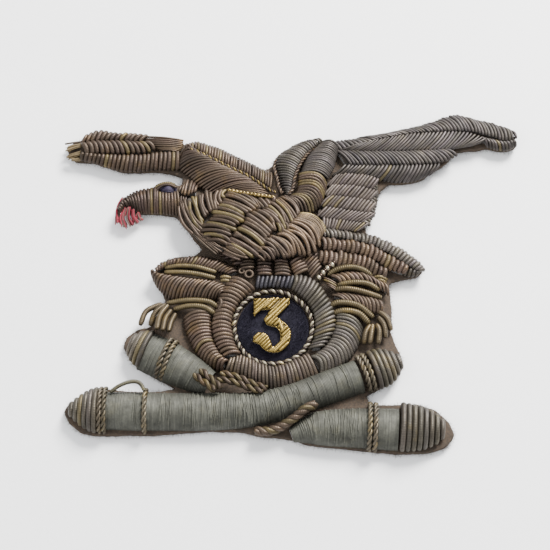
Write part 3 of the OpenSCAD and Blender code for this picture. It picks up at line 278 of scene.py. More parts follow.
def around(sides):
    """Even angles round a circle, as one row."""
    return np.linspace(0, 2 * math.pi, sides, endpoint=False)[None, :]


def rings_round(path, normal, side, rad, angle):
    """Points round a path, one ring to each of its points."""
    return (path[:, None, :] + normal[:, None, :] * (rad * np.cos(angle))[..., None]
            + side[:, None, :] * (rad * np.sin(angle))[..., None])


def ring_quads(n, sides):
    """Faces between n closed rings."""
    i, k = np.meshgrid(np.arange(n - 1), np.arange(sides), indexing="ij")
    a, b = i * sides + k, i * sides + (k + 1) % sides
    return np.stack([a, a + sides, b + sides, b], axis=-1).reshape(-1, 4)


def tube(path, r, tint, pitch=0.3, depth=0.16, sides=10, ref=up_z, taper=0.35, groove=0.5,
         closed=False):
    """A wire coiled into a tube: ridges wind round the path as a screw.

    pitch is the rise of one coil, depth the share of the radius lost between two coils, groove
    the brightness left there as painted shade, and taper the share of the radius lost at a free end.
    """
    p, run = resample(path, pitch, per_turn=4, least=6)
    normal, side = frames(p, ref)
    n, s, angle, flank = len(p), run[:, None], around(sides), 0.75
    turn = s / pitch - angle / (2 * math.pi) + rng.random()
    crest = np.abs(np.sin(math.pi * turn)) ** 0.6
    ease = np.ones((n, 1))
    if not closed:
        near = np.minimum(s, run[-1] - s) / (1.5 * r)
        ease = 1 - taper * np.clip(1 - near, 0, 1) ** 2
    rad = r * ease * (1 - depth * (1 - crest))
    # Painted shade: the wire is darkened down its sides, away from its top, and in the hollows between coils
    # by groove.
    painted_flank_shade = flank + (1 - flank) * np.clip(0.35 + 0.9 * np.cos(angle), 0, 1)
    shade = (groove + (1 - groove) * crest) * painted_flank_shade
    colours = np.asarray(tint)[None, None, :] * shade[..., None]
    quads = ring_quads(n, sides)
    if not closed:
        caps = []
        for first, order in ((0, 1), ((n - 1) * sides, -1)):
            for j in range(sides // 2 - 1):
                q = [first + j, first + j + 1, first + sides - 2 - j, first + sides - 1 - j]
                caps.append(q[::order])
        quads = np.vstack([quads, np.array(caps)])
    lay(rings_round(p, normal, side, rad, angle).reshape(-1, 3), quads, colours.reshape(-1, 3))


# ------------ reading the frame

def loose_parts(node):
    """The separate solids of a CAD node, as arrays of points in millimetres."""
    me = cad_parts[node].data
    co = np.empty(len(me.vertices) * 3)
    me.vertices.foreach_get("co", co)
    points, index = np.unique(np.round(co.reshape(-1, 3) / MM, 4), axis=0, return_inverse=True)
    edges = np.empty(len(me.edges) * 2, int)
    me.edges.foreach_get("vertices", edges)
    e = index.ravel()[edges].reshape(-1, 2)
    label = np.arange(len(points))
    while True:
        low = np.minimum(label[e[:, 0]], label[e[:, 1]])
        new = label.copy()
        np.minimum.at(new, e[:, 0], low)
        np.minimum.at(new, e[:, 1], low)
        new = new[new]
        if (new == label).all():
            break
        label = new
    return [points[label == k] for k in np.unique(label)]


def centreline(v, samples):
    """Centre line of a bent rod: a cubic along its length, or a circle if round."""
    c = v.mean(0)
    d = np.linalg.svd(v - c, full_matrices=False)[2][0]
    t = (v - c) @ d
    lo, hi = t.min(), t.max()
    x = (2 * t - lo - hi) / (hi - lo)
    coef = np.linalg.lstsq(np.vander(x, 4), v, rcond=None)[0]
    gap = np.linalg.norm(v - np.vander(x, 4) @ coef, axis=1)
    if gap.max() > 1.3 * np.median(gap) + 0.02:
        return hoop_line(v, samples)
    r = np.median(gap)
    ends = []
    for e in (-1, 1):
        slope = np.array([3 * e * e, 2 * e, 1, 0]) @ coef
        lean = np.linalg.norm(np.cross(slope, d)) / np.linalg.norm(slope)
        ends.append(e * (1 - r * lean * 2 / (hi - lo)))
    xs = np.linspace(ends[0], ends[1], samples)
    return np.vander(xs, 4) @ coef


def hoop_line(v, samples=25):
    """Centre line of a half-round hoop."""
    c = v.mean(0)
    a, b, _ = np.linalg.svd(v - c, full_matrices=False)[2]
    if b[2] < 0:
        b = -b
    q = np.stack([(v - c) @ a, (v - c) @ b], axis=1)
    sums = np.column_stack([2 * q, np.ones(len(q))])
    mid = np.linalg.lstsq(sums, (q ** 2).sum(1), rcond=None)[0][:2]
    far = q - mid
    big = np.linalg.norm(far, axis=1).mean()
    ang = np.unwrap(np.sort(np.arctan2(far[:, 1], far[:, 0])))
    gaps = np.diff(np.concatenate([ang, [ang[0] + 2 * math.pi]]))
    start = (np.argmax(gaps) + 1) % len(ang)
    first = ang[start]
    last = first + 2 * math.pi - gaps.max()
    th = np.linspace(first, last, samples)
    flat = mid + big * np.stack([np.cos(th), np.sin(th)], axis=1)
    return c + flat[:, :1] * a + flat[:, 1:] * b


def crowding(lines):
    """For each line, the distance sideways to the nearest line that runs beside it."""
    mids = np.array([l[len(l) // 2] for l in lines])
    dirs = np.array([l[-1] - l[0] for l in lines])
    lens = np.linalg.norm(dirs, axis=1, keepdims=True)
    dirs = dirs / lens
    out = []
    for i in range(len(lines)):
        gap = mids - mids[i]
        along = np.abs(gap @ dirs[i])
        apart = np.linalg.norm(gap - (gap @ dirs[i])[:, None] * dirs[i], axis=1)
        like = np.abs(dirs @ dirs[i]) > 0.8
        near = like & (along < 0.6 * lens[i]) & (apart > 0.05)
        out.append(apart[near].min() if near.any() else 9)
    return np.array(out)


# ------------ embroidery

def twisted(path, r, shades, twist, pitch=0.26, depth=0.14, closed=False, share=0.56):
    """Coiled wires, one to each shade, laid round each other as a cord."""
    p, s = resample(path, twist, per_turn=18, least=12)
    normal, side = frames(p)
    if closed:
        twist = s[-1] / round(s[-1] / twist)
    for k, tint in enumerate(shades):
        a = 2 * math.pi * (s / twist + k / len(shades))
        off = r * (1 - share)
        q = p + off * (normal * np.cos(a)[:, None] + side * np.sin(a)[:, None])
        tube(q, r * share, tint * rng.uniform(0.9, 1.1), pitch, depth, sides=8, closed=closed)


def flattened_ball(centre, r, squash, tint, rings, sides):
    """A ball whose height is squashed."""
    lat = np.linspace(0.02, math.pi - 0.02, rings)[:, None]
    lon = around(sides)
    pts = np.stack([r * np.sin(lat) * np.cos(lon), r * np.sin(lat) * np.sin(lon),
                    squash * r * np.cos(lat) * np.ones_like(lon)], axis=-1) + np.asarray(centre)
    lay(pts.reshape(-1, 3), ring_quads(rings, sides), np.tile(tint, (rings * sides, 1)))


def hairs(roots, directions, length, r, tint, curl, steps=4):
    """Short fibres that stand out from their roots and bend at random."""
    sides = 3
    for root, d in zip(roots, directions):
        bend = rng.normal(0, curl, 3)
        u = np.linspace(0, 1, steps)[:, None]
        size = length * rng.uniform(0.5, 1.3)
        path = root + size * (u * d + u ** 2 * bend * 0.6)
        path[:, 2] = np.maximum(path[:, 2], 0.03)
        pts = rings_round(path, *frames(path), r * (1 - 0.7 * u), around(sides))
        lay(pts.reshape(-1, 3), ring_quads(steps, sides),
            np.tile(tint * rng.uniform(0.75, 1.25), (steps * sides, 1)))


def hoops(node, slot, r, base, twist=0.0):
    """Rings over the barrels, from the half-round hoops of the CAD node."""
    parts = loose_parts(node)
    for v, tint in zip(parts, tints(len(parts), base, 0.05)):
        line = hoop_line(v)
        middle = len(line) // 2
        if twist:
            twisted(line, r, (tint, tint * 1.25), twist)
        else:
            plane = np.cross(line[0] - line[middle], line[-1] - line[middle]) / 50
            tube(line, r * rng.uniform(0.96, 1.04), tint, ref=plane)
    finish(node, slot)


def keep(node, material):
    """A CAD node that is shown as it is, with a detailed material."""
    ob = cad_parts[node]
    ob.data.materials.clear()
    ob.data.materials.append(material)


def at(points):
    """Guide points whose heights are given over the felt."""
    return [(x, y, z + FELT_TOP) for x, y, z in points]


# ------------ cloth

def rim_of(node):
    """The outline of a flat node, in order, in millimetres."""
    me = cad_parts[node].data
    co = np.array([v.co[:] for v in me.vertices]) / MM
    key = [tuple(k) for k in np.round(co[:, :2], 3)]
    count = {}
    for poly in me.polygons:
        if poly.normal.z > 0.9:
            ids = list(poly.vertices)
            for a, b in zip(ids, ids[1:] + ids[:1]):
                e = (key[a], key[b])
                if (e[1], e[0]) in count:
                    del count[(e[1], e[0])]
                else:
                    count[e] = 1
    follow = {a: b for a, b in count}
    start = next(iter(follow))
    loop, here = [start], follow[start]
    while here != start:
        loop.append(here)
        here = follow[here]
    return np.array(loop)


def even_loop(loop, step):
    """A closed outline with a point at every step."""
    closed = np.vstack([loop, loop[:1]])
    run = running_length(closed)
    return points_at(closed, run, np.arange(0, run[-1], step))


def fill(ring):
    """Triangles that fill a flat ring, as point numbers."""
    return tessellate_polygon([[Vector(p) for p in ring.tolist()]])


def soft_slab(node, material, slot, z_low, z_high, wander=0.07):
    """A cloth layer with a rounded, slightly uneven edge; gives its outline and the way out."""
    loop = even_loop(rim_of(node), 0.3)
    for _ in range(3):
        loop = (loop * 2 + np.roll(loop, 1, 0) + np.roll(loop, -1, 0)) / 4
    n = len(loop)
    ahead = np.roll(loop, -1, 0) - np.roll(loop, 1, 0)
    out = np.stack([ahead[:, 1], -ahead[:, 0]], axis=1)
    out /= np.linalg.norm(out, axis=1, keepdims=True)
    slow = np.convolve(np.tile(rng.normal(0, 1, n), 3), np.ones(5) / 5, "same")[n:2 * n]
    rows, half, bands = [], (z_high - z_low) / 2, 8
    for a in np.radians(np.linspace(-90, 90, bands + 1)):
        inset = half * (1 - math.cos(a)) * 0.6
        ring = loop + out * (wander * (slow + rng.normal(0, 0.5, n)) - inset)[:, None]
        rows.append(np.column_stack([ring, np.full(n, z_low + half * (1 + math.sin(a)))]))
    faces = []
    for j in range(bands):
        for i in range(n):
            a, b = j * n + i, j * n + (i + 1) % n
            faces.append((a, b, b + n, a + n))
    top = [tuple(bands * n + k for k in t) for t in fill(rows[-1])]
    low = [tuple(t[::-1]) for t in fill(rows[0])]
    me = bpy.data.meshes.new(node)
    me.from_pydata((np.concatenate(rows) * MM).tolist(), [], faces + top + low)
    me.validate()
    for poly in me.polygons:
        poly.use_smooth = True
    me.materials.append(material)
    place(node, me, slot, node)
    return loop, out


soft_slab("backing", lining, "backing", 0.0, 0.5, wander=0.04)
rim, rim_out = soft_slab("felt_ground", felt, "felt", 0.5, FELT_TOP)

pick = rng.integers(0, len(rim), 5200)
roots = np.column_stack([rim[pick], rng.uniform(0.55, 1.5, len(pick))])
ways = np.column_stack([rim_out[pick], rng.normal(0, 0.5, len(pick))])
hairs(roots, ways, 0.42, 0.022, linear(74, 63, 52), curl=0.7)
finish("felt_fibres", "felt", thread, stands_for_node=False)

# Padding and barrel cores in the dark cotton: painted shade where they show between strands.
for node in ("pad_left_wing", "pad_head", "pad_body", "pad_arm", "pad_right_wing", "pad_tail",
             "pad_ring", "pad_leaves", "core_front_barrel", "core_rear_barrel"):
    keep(node, cotton)
keep("numeral_card", card)

# velvet disc

flattened_ball((0, 0, FELT_TOP + 0.1), 7.4, 0.085, linear(26, 24, 34), rings=60, sides=120)
fibres = 9000
rad = 7.3 * np.sqrt(rng.random(fibres))
ang = rng.uniform(0, 2 * math.pi, fibres)
roots = np.column_stack([rad * np.cos(ang), rad * np.sin(ang), np.full(fibres, FELT_TOP + 0.55)])
ways = np.column_stack([rng.normal(0, 0.5, (fibres, 2)), np.ones(fibres)])
hairs(roots, ways, 0.26, 0.035, linear(34, 31, 44), curl=0.5, steps=3)
finish("velvet_disc", "velvet", velvet)

# numeral

def arc(cx, cy, rx, ry, first, last, n):
    """Points of an ellipse between two angles in degrees."""
    a = np.radians(np.linspace(first, last, n))
    return np.column_stack([cx + rx * np.cos(a), cy + ry * np.sin(a)])


three = np.vstack([[(-3.9, 6), (3.3, 6), (3.3, 5), (0.7, 2.2)],
                   arc(0.2, -2.1, 3.3, 3.6, 75, -150, 16), arc(-2.4, -3.1, 1.6, 1.55, 190, 10, 7),
                   arc(0.2, -2.3, 1.45, 2.3, 250, 430, 10),
                   [(-1.2, 0.4), (-1.8, 1.5), (0, 3.9), (-2.8, 3.7), (-3.8, 2.3)]])
NUMERAL_HIGH, NUMERAL_EDGE_HIGH = 3.11, 2.9
for v in loose_parts("numeral_purl"):
    ends = centreline(v, 5)[[0, -1]]
    ends[:, 2] = NUMERAL_HIGH
    tube(np.linspace(*ends, 5), 0.4, GOLD * rng.uniform(0.75, 0.95), 0.2, 0.1, taper=0.2)
edge = even_loop(three, 0.12)
edge = np.column_stack([edge, np.full(len(edge), NUMERAL_EDGE_HIGH)])
tube(edge, 0.16, GOLD * 0.6, 0.2, 0.1, closed=True)
finish("numeral_purl", "gilt_wire", bright)

# rope round the disc

a = np.linspace(0, 2 * math.pi, 241)
rope_rad = 8.05 + 0.06 * np.sin(3 * a + 1) + 0.05 * np.sin(5 * a)
circle = np.column_stack([rope_rad * np.cos(a), rope_rad * np.sin(a), np.full(241, FELT_TOP + 0.72)])
# Painted light in the plies: the dark ply is painted shade in the gaps between beads, and the PALE ply is a
# painted highlight on the beads.
twisted(circle, 0.55, (BROWN_DARK * 0.6, PALE), 1.7, pitch=0.24, depth=0.06, closed=True, share=0.6)
finish("disc_rope", "gilt_wire")


# ------------ rows of strands

def rail(points, n, a=0.0, b=1.0):
    """n even stations along a smooth rail of a few points."""
    path = smooth_path([(x, y, 0) for x, y in points])
    run = running_length(path)
    return points_at(path, run, np.linspace(a, b, n) * run[-1])


def strand_path(p, q, za, zb, crown, mid):
    """A strand that arches from p to q; mid pushes its middle sideways."""
    u = np.linspace(0, 1, 11)[:, None]
    path = (1 - u) * p + u * q
    path[:, :2] += 4 * u * (1 - u) * np.asarray(mid)
    path[:, 2] = FELT_TOP + (za * (1 - u) + zb * u + crown * np.sin(math.pi * u) ** 0.75)[:, 0]
    return path


def breast(x, y):
    """Height of the stuffed body over the felt: a dome turned by 25 degrees."""
    cos_25, sin_25 = 0.906, 0.423
    a = (x + 4.5) * cos_25 - (y - 22) * sin_25
    b = (x + 4.5) * sin_25 + (y - 22) * cos_25
    return 0.6 + 2.7 * np.sqrt(np.maximum(0, 1 - a * a / 300 - b * b / 120))


def drape(path, lift, crown):
    """Lays a path over the stuffed body."""
    u = np.linspace(0, 1, len(path))
    high = breast(path[:, 0], path[:, 1]) + lift + crown * np.sin(math.pi * u) ** 0.6
    path[:, 2] = FELT_TOP + high
    return path


def tints(n, base, gilt=0.06):
    """Tints for neighbouring strands: slow change, a little scatter, now and then a gilt one."""
    slow = np.convolve(rng.normal(0, 1, n + 6), np.ones(7) / 7, "valid")
    out = []
    for k in range(n):
        c = base * (1 + 0.35 * slow[k] + rng.normal(0, 0.07))
        c = c * [1, 1 - 0.05 * rng.random(), 1 + 0.05 * rng.normal()]
        if rng.random() < gilt:
            c = 0.45 * c + 0.55 * OLIVE * rng.uniform(0.75, 1.1)
        out.append(np.clip(c, 0.004, 1))
    return out


def row(A, B, n, base, za=0.9, zb=0.9, crown=0.7, mid=(0, 0), span=(0, 1, 0, 1), gilt=0.06,
        pitch=0.28, depth=0.14, width=0.56, widest=0.62, ragged=0.08, over_body=None, loose=0.05,
        taper=0.4):
    """n strands from rail A to rail B, each as wide as its share of the row.

    za and zb are the heights over the felt at A and B, crown the rise between them, mid the push
    sideways, span the shares of A and B in use, gilt the share of gilt strands, width the radius
    as a share of the gap, ragged and loose the scatter of the ends and of the push.
    """
    pa, pb = rail(A, n, *span[:2]), rail(B, n, *span[2:])
    room = crowding([strand_path(p, q, za, zb, 0, mid) for p, q in zip(pa, pb)])
    typical = np.median(room)
    for p, q, gap, tint in zip(pa, pb, room, tints(n, base, gilt)):
        along = (q - p) / np.linalg.norm(q - p)
        p = p - along * rng.uniform(-1, 1) * ragged + rng.normal(0, 0.02, 3) * [1, 1, 0]
        q = q + along * rng.uniform(-1, 1) * ragged + rng.normal(0, 0.02, 3) * [1, 1, 0]
        own = np.asarray(mid) + rng.normal(0, loose, 2)
        path = strand_path(p, q, za, zb, crown * rng.uniform(0.94, 1.06), own)
        if over_body is not None:
            path = drape(path, over_body, crown)
        path[:, 2] += rng.normal(0, 0.03)
        r = min(widest, width * np.clip(gap, typical * 0.75, typical * 1.25))
        tube(path, r * rng.uniform(0.95, 1.06), tint, pitch, depth, taper=taper)


def strand(points, r, tint, pitch=0.42, depth=0.2):
    """One strand through points whose heights are given over the felt."""
    tube(smooth_path(at(points), 6), r, tint, pitch, depth)


# left wing

row([(-40.2, 44.9), (-38.8, 45.8), (-36.6, 45.8), (-34, 45.2), (-30, 45.1), (-27.4, 44.7)],
    [(-41.2, 42.6), (-38.5, 43.1), (-36, 43.3), (-33, 43.2), (-30.6, 43.1), (-28.9, 43)], 13, BROWN * 0.85,
    0.25, 1.0, 0.75, (0.15, 0.25))
finish("left_wing_row_1")
row([(-41.2, 42.4), (-38.5, 43), (-35, 43.1), (-31.6, 43), (-29, 42.9), (-27.9, 42.8)],
    [(-40, 39.8), (-37, 40), (-33, 40), (-29.3, 40.1), (-27, 40.4), (-25.6, 41)], 14, BROWN * 0.9, 1.0, 1.0,
    0.8, (0.3, 0.25), gilt=0.12)
finish("left_wing_row_2")
row([(-41, 40.1), (-38, 39.8), (-34.5, 39.7), (-31, 39.7), (-28, 39.8), (-25, 40.3), (-20.6, 40.6)],
    [(-41.3, 39.1), (-38.8, 38.4), (-36, 37.3), (-33.5, 36.5), (-31.2, 36.2), (-28.6, 36.2), (-25.6, 36.5),
     (-20.6, 36.5)], 24, BROWN * 0.85, 1.0, 0.25, 0.85, (0.15, 0.1))
finish("left_wing_row_3")
row([(-28.8, 44.4), (-27.6, 43.2), (-26.2, 42), (-24.6, 41.2)],
    [(-19.4, 43.5), (-19.4, 42.6), (-19.6, 41.6), (-20.2, 40.8)], 8, BROWN * 0.9, 0.6, 0.7, 0.7,
    (0.2, -0.1), pitch=0.22, depth=0.07, loose=0.02)
finish("left_wing_smooth")
row([(-18.6, 42.4), (-16.7, 43.3), (-15, 42.9), (-12.5, 42.1), (-10, 40.9), (-7.5, 39.5), (-5, 38.2),
     (-2.5, 36.8), (-0.4, 35.9)],
    [(-18.6, 41.2), (-16, 40.5), (-14, 39.4), (-11, 37.7), (-8, 36), (-5, 34.5), (-3, 33.2), (-0.6, 31.4)],
    32, BROWN, 0.25, 1.5, 0.8, (0.1, 0.1), gilt=0.08, pitch=0.24, depth=0.1)
finish("left_shoulder_short")
row([(-18.8, 41.1), (-19.9, 39.8), (-20.5, 38.2), (-20.3, 36.8), (-19.2, 35.6), (-17.8, 34.5),
     (-16.9, 33.2), (-15.4, 32), (-13.4, 31), (-11.2, 30.4), (-9.2, 30.1)],
    [(-17.4, 40.9), (-15.6, 39.9), (-13.4, 38.8), (-11.2, 37.5), (-9, 36.2), (-7, 35.2), (-5.2, 34.2),
     (-3.6, 33.1), (-2.4, 32.2), (-1, 31), (-0.2, 29.2)], 27, BROWN, 0.4, 1.6, 1.0, (-0.2, 0.8), gilt=0.04,
    pitch=0.2, depth=0.06, width=0.62)
finish("left_shoulder_long")

# head

row([(-32.9, 26.8), (-32.5, 28.5), (-31.3, 30), (-29.6, 31.2), (-27.6, 31.8), (-25.2, 32.3)],
    [(-31.9, 26.2), (-31.2, 27), (-30, 27.3), (-28.6, 26.5), (-26.6, 26.1), (-25, 26.1)], 14, BROWN_DARK,
    0.25, 0.3, 1.9, (0, 0))
row([(-24.6, 30.8), (-23.4, 30.4), (-21.6, 30.4), (-20.4, 31)],
    [(-24.4, 26.1), (-22.8, 26), (-21.2, 25.9), (-19.8, 25.7)], 8, BROWN, 1.6, 0.3, 1.2)
row([(-20, 30.8), (-18.4, 29.8)], [(-19.6, 25.4), (-18, 24.8)], 4, BROWN_DARK, 1.2, 0.4, 0.9, (-0.3, 0))
strand([(-25.4, 31.8, 0.6), (-24.2, 32.7, 0.9), (-22.4, 33.1, 0.9), (-20.8, 32.6, 0.8)], 0.42, WORN_GILT)
strand([(-25, 31.1, 1.2), (-23.6, 32.2, 1.5), (-22, 32.4, 1.5), (-20.5, 31.8, 1.3)], 0.3, BROWN_DARK)
finish("head_purls")
row([(-19.3, 32.6), (-18.4, 33.7), (-17.4, 33.8), (-16.2, 32.4)],
    [(-20, 30.4), (-19, 29.7), (-17.9, 29.7), (-16.6, 30.2)], 6, BROWN * 1.2, 0.8, 1.9, 0.7)
finish("nape_purls")

# body

def body_row(A, B, n, mid, light=1.0):
    """A row of loose overlapping strands on the stuffed body."""
    row(A, B, n, BODY_BROWN * light, crown=0.4, mid=mid, gilt=0.2, pitch=0.3, depth=0.08, width=0.64,
        ragged=0.7, over_body=0.5, loose=0.26, taper=0.85)


body_row([(-17.8, 28.6), (-16.6, 29.6), (-15.2, 30), (-13.4, 30), (-11.4, 30), (-9.8, 29.8)],
    [(-14.9, 20.6), (-14.2, 22.2), (-13.4, 23.6), (-12.4, 24.8), (-11.4, 26), (-10, 27.6)], 11, (-0.45, -0.3))
finish("neck_purls")
body_row([(-9.6, 29.4), (-10.6, 28), (-11.8, 26.6), (-13, 25), (-14.2, 23.2), (-15, 21.4), (-15, 19.8),
     (-14.2, 18.2)],
    [(-3, 25.6), (-4.3, 24.7), (-5.4, 23.6), (-6.4, 22.2), (-7.3, 20.8), (-8.2, 19.6), (-8.9, 18.3),
     (-9.2, 17)], 15, (0.2, 0.4))
body_row([(-2.2, 26.2), (-3.8, 25.2), (-5.2, 24.1), (-6.4, 22.8), (-7.5, 21.4), (-8.6, 20), (-9.3, 18.6),
     (-9.8, 17)],
    [(1.6, 22.6), (1, 21.4), (0, 20.2), (-0.6, 19), (-1.1, 17.8), (-1.6, 16.6), (-2.4, 15.4), (-5, 14.3)],
    14, (0.3, 0.3))
body_row([(2, 29.3), (0.6, 28.6), (-0.8, 27.7), (-2.1, 26.5)],
    [(5.2, 25), (4.6, 23.6), (3.4, 22.2), (1.8, 20.6)], 9, (0.55, 0.5))
body_row([(-0.8, 28.3), (-3, 28.4), (-5.4, 28.8), (-8, 29.4)],
    [(0, 26.6), (-1.8, 25.8), (-3, 25.5), (-4, 26)], 7, (0.2, 0.2))
body_row([(-0.2, 22.9), (0.9, 22.4), (2, 21.9)],
    [(0.6, 20.2), (1.6, 20.4), (2.8, 20.8)], 4, (0.3, 0.2), 1.2)
finish("breast_purls")
body_row([(-0.9, 19.6), (-1.8, 18.2), (-2.7, 16.9), (-5, 15.6)],
    [(3.8, 14.8), (2.4, 14.4), (0.6, 14.2), (-2.2, 14)], 9, (0.4, 0.4))
body_row([(-10.2, 18.8), (-10.4, 17.2), (-10, 15.6)],
    [(-4.2, 15.8), (-5.2, 14.9), (-6.4, 14)], 6, (-0.2, -0.2))
finish("belly_purls")
body_row([(-19.8, 27.2), (-18.9, 28), (-17.9, 28.4)],
    [(-16, 19.4), (-15.1, 20.3), (-14.2, 21.6)], 5, (-0.9, -0.5))
body_row([(-17, 20.8), (-15.8, 20.6), (-14.7, 20.4)],
    [(-11.2, 15), (-10.4, 16), (-9.5, 17.2)], 6, (-0.4, -0.3))
finish("flank_purls")
body_row([(4.2, 23.8), (3, 22.6), (2.2, 21.2), (1.2, 19.9), (-0.6, 19)],
    [(9.8, 18.2), (8.6, 16.4), (6.8, 15.2), (5.2, 14.7), (3.4, 14.5)], 11, (1.1, 0.9), 1.5)
row([(5.2, 25), (4.7, 24), (4, 23)],
    [(11.2, 21.4), (10.4, 20.2), (9.6, 18.4)], 9, WORN_GILT * 0.5 + BROWN * 0.7, mid=(1.2, 1.2), pitch=0.22,
    depth=0.07, crown=0.6, over_body=0.5, gilt=0.3)
finish("thigh_purls")

# right arm of the wing

SILVER = ("grey_wire", silvered)
row([(2.3, 29.8), (1.7, 31.6), (1.4, 33.5), (0.9, 36), (0.5, 38), (1.4, 39.7), (3, 41.1), (4.6, 42.1),
     (6.6, 42.9), (9, 43.2)],
    [(3.5, 29.3), (4.3, 31), (4.6, 33), (5.1, 35), (5.8, 37), (6.7, 38.8), (7.8, 40.2), (8.9, 41.2),
     (9.8, 41.9), (10.6, 42.4)], 30, GREY_DARK, 0.9, 2.0, 0.9, (0.1, 0.3), pitch=0.24, depth=0.1)
finish("arm_leading_purls", *SILVER)
row([(5.3, 34.5), (5.3, 33.2), (5.2, 31.6), (4.7, 30.2), (3.2, 29.3), (1.6, 28.9), (0.6, 28.7)],
    [(11.3, 32), (10.8, 29.6), (9.8, 27.4), (8.7, 26), (7.4, 25.3), (6, 25.1), (4.8, 25.1)], 15, BROWN, 2.1,
    1.5, 1.2, (1.0, 1.1), gilt=0.12, pitch=0.3)
finish("arm_fan_purls", "grey_wire")
row([(10, 42.3), (8.6, 40.7), (7.3, 38.9), (6.4, 36.9), (5.8, 35.2)],
    [(14.2, 41.2), (13.7, 39.6), (13.3, 37.8), (12.8, 36), (11.8, 34)], 18, GREY * 1.1, 1.6, 1.2, 1.1,
    (0.4, 0.8), gilt=0.02, pitch=0.2, depth=0.05, width=0.62)
row([(9.8, 43.1), (12.4, 43.4), (15, 43.6), (19.4, 44.2)],
    [(11, 41.8), (13.4, 41), (15.4, 40.9), (22.4, 43.1)], 13, GREY, 0.25, 1.3, 0.6, pitch=0.22, depth=0.08)
finish("arm_smooth_purls", *SILVER)

# right wing

WING = dict(gilt=0.02, taper=0.2, width=0.6)
row([(18, 44.2), (22.5, 44.9), (27, 46), (31, 47), (35, 48.3), (38.6, 49.8), (41.6, 49.6), (45, 48.5),
     (48.5, 47.5), (51.2, 46.2), (52.4, 44.6)],
    [(20.8, 42.9), (25.8, 44.1), (30.4, 44.9), (34.8, 45.3), (39.2, 45.5), (42.6, 45.4), (45.2, 44.8),
     (47.4, 44.1), (49.4, 43.4), (51.2, 43.2), (52.4, 43.8)], 42, GREY, 0.25, 1.3, 0.7, (0.25, 0.2),
    (0, 0.95, 0.07, 1), ragged=0.16, **WING)
finish("right_wing_row_1", *SILVER)
row([(18.8, 42.7), (24, 43.8), (28.6, 44.7), (33.6, 45.1), (38, 45.3), (42, 45.2), (46, 43.8)],
    [(14.8, 41), (18.4, 40.7), (23.2, 40.7), (28.4, 40.7), (32.8, 40.8), (37.2, 40.9), (42.4, 42.1)], 35,
    GREY, 1.3, 1.3, 0.45, (0.3, -0.2), **WING)
finish("right_wing_row_2", *SILVER)
row([(13.6, 40.9), (17.6, 40.6), (23, 40.6), (29, 40.6), (34.6, 40.8), (38.2, 41)],
    [(15.6, 37.4), (20.2, 37.2), (25.8, 37.3), (31.4, 37.4), (36.2, 38), (39.4, 39.4)], 29, GREY, 1.3, 1.3,
    0.45, (0.2, 0.1), (0, 0.95, 0.05, 1), **WING)
finish("right_wing_row_3", *SILVER)
row([(15.6, 37.3), (20.6, 37.1), (25.6, 37.1), (30.6, 37.2), (35.6, 37.5)],
    [(12.6, 34.9), (17, 35), (21.8, 34.2), (26, 33.6), (30, 33.9), (33.4, 35.3)], 26, GREY, 1.3, 0.35, 0.7,
    (0.3, -0.25), **WING)
finish("right_wing_row_4", *SILVER)
row([(45, 44.3), (47.4, 43.6), (49.8, 43.2), (51.8, 43.4)],
    [(46.4, 42.1), (48.4, 41.4), (50.6, 41.3), (52.3, 42.3)], 10, GREY * 1.1, 0.9, 0.25, 0.7, (0.25, 0.1),
    gilt=0.02)
finish("right_wing_tip", *SILVER)

rungs = [[(12.4, 34.4), (15, 35.4), (18, 35.1), (20.6, 34.8), (22.4, 33.9)],
         [(11.3, 32.2), (14, 32.6), (17, 32.4), (20, 31.9), (22.2, 31)],
         [(10.6, 29.8), (14, 29.9), (18, 29.3), (21.8, 28.4)],
         [(9.8, 27.4), (13, 27.1), (17, 26.4), (21.6, 25.9)],
         [(9.3, 25), (12, 24.6), (16, 24), (20, 23.5)],
         [(10.6, 22.3), (13, 22.1), (16, 21.7), (18.8, 21.6)]]
for k in range(5):
    row(rungs[k], rungs[k + 1], 14, SECONDARY, 1.1, 1.1, 0.2, (0.05, 0.05),
        (0.134, 1, 0, 0.866), gilt=0.02, ragged=0.12, width=0.6, taper=0.2)
row([(20.8, 33), (20.6, 30), (20.2, 27.2), (18.8, 24)],
    [(22.4, 32.2), (22.1, 29.2), (21.6, 26.4), (20.4, 23.4)], 13, GREY_DARK, 0.9, 0.3, 0.3, gilt=0.02,
    ragged=0.15)
finish("secondary_purls", *SILVER)

# tail

row([(9.4, 22.7), (14, 22), (18, 21.3), (20.6, 20.8), (23, 19.8), (25.6, 18.4), (28, 16.6), (29.8, 15.1),
     (31, 13.9), (31.4, 12.9)],
    [(11, 20.2), (16.2, 19.4), (20, 18.4), (21.8, 17.8), (23.2, 17), (24.9, 15.9), (26.2, 14.8),
     (27.6, 13.8), (29, 13), (30.4, 12.5)], 28, GREY_DARK * 1.2, 0.3, 1.1, 0.8, (0.3, 0.05), gilt=0.02,
    ragged=0.2)
finish("tail_row_upper", *SILVER)
row([(10.2, 19.9), (14.2, 19.6), (18, 18.9), (20.8, 18), (22.6, 17), (24.4, 15.8), (25.8, 14.7),
     (27.5, 13.5)],
    [(10.7, 17.1), (14.1, 16.9), (17.6, 16.3), (20, 15.5), (21.9, 14.1), (23.6, 12.9), (25, 12.1),
     (26.8, 11.7)], 19, BROWN * 1.35, 1.1, 1.1, 0.75, (0.4, 0.1), gilt=0.03, ragged=0.35)
row([(10, 17), (13.4, 16.8), (17, 16.3), (19.6, 15.4), (21.4, 14), (23.2, 12.8)],
    [(9.8, 14.3), (13, 13.3), (16, 12.9), (18.6, 12.7), (20.8, 11.6), (22.8, 11.1)], 15, BROWN * 1.35, 1.1,
    0.8, 0.8, (0.3, 0.1), gilt=0.03, ragged=0.35)
row([(27.9, 13.2), (29, 12.9), (30.4, 12.5)],
    [(27.4, 11.8), (28.6, 11.5), (29.7, 11.7)], 4, GREY_DARK, 0.9, 0.3, 0.5)
finish("tail_row_lower", "grey_wire")

# horn

HORN = dict(gilt=0.03, pitch=0.3)

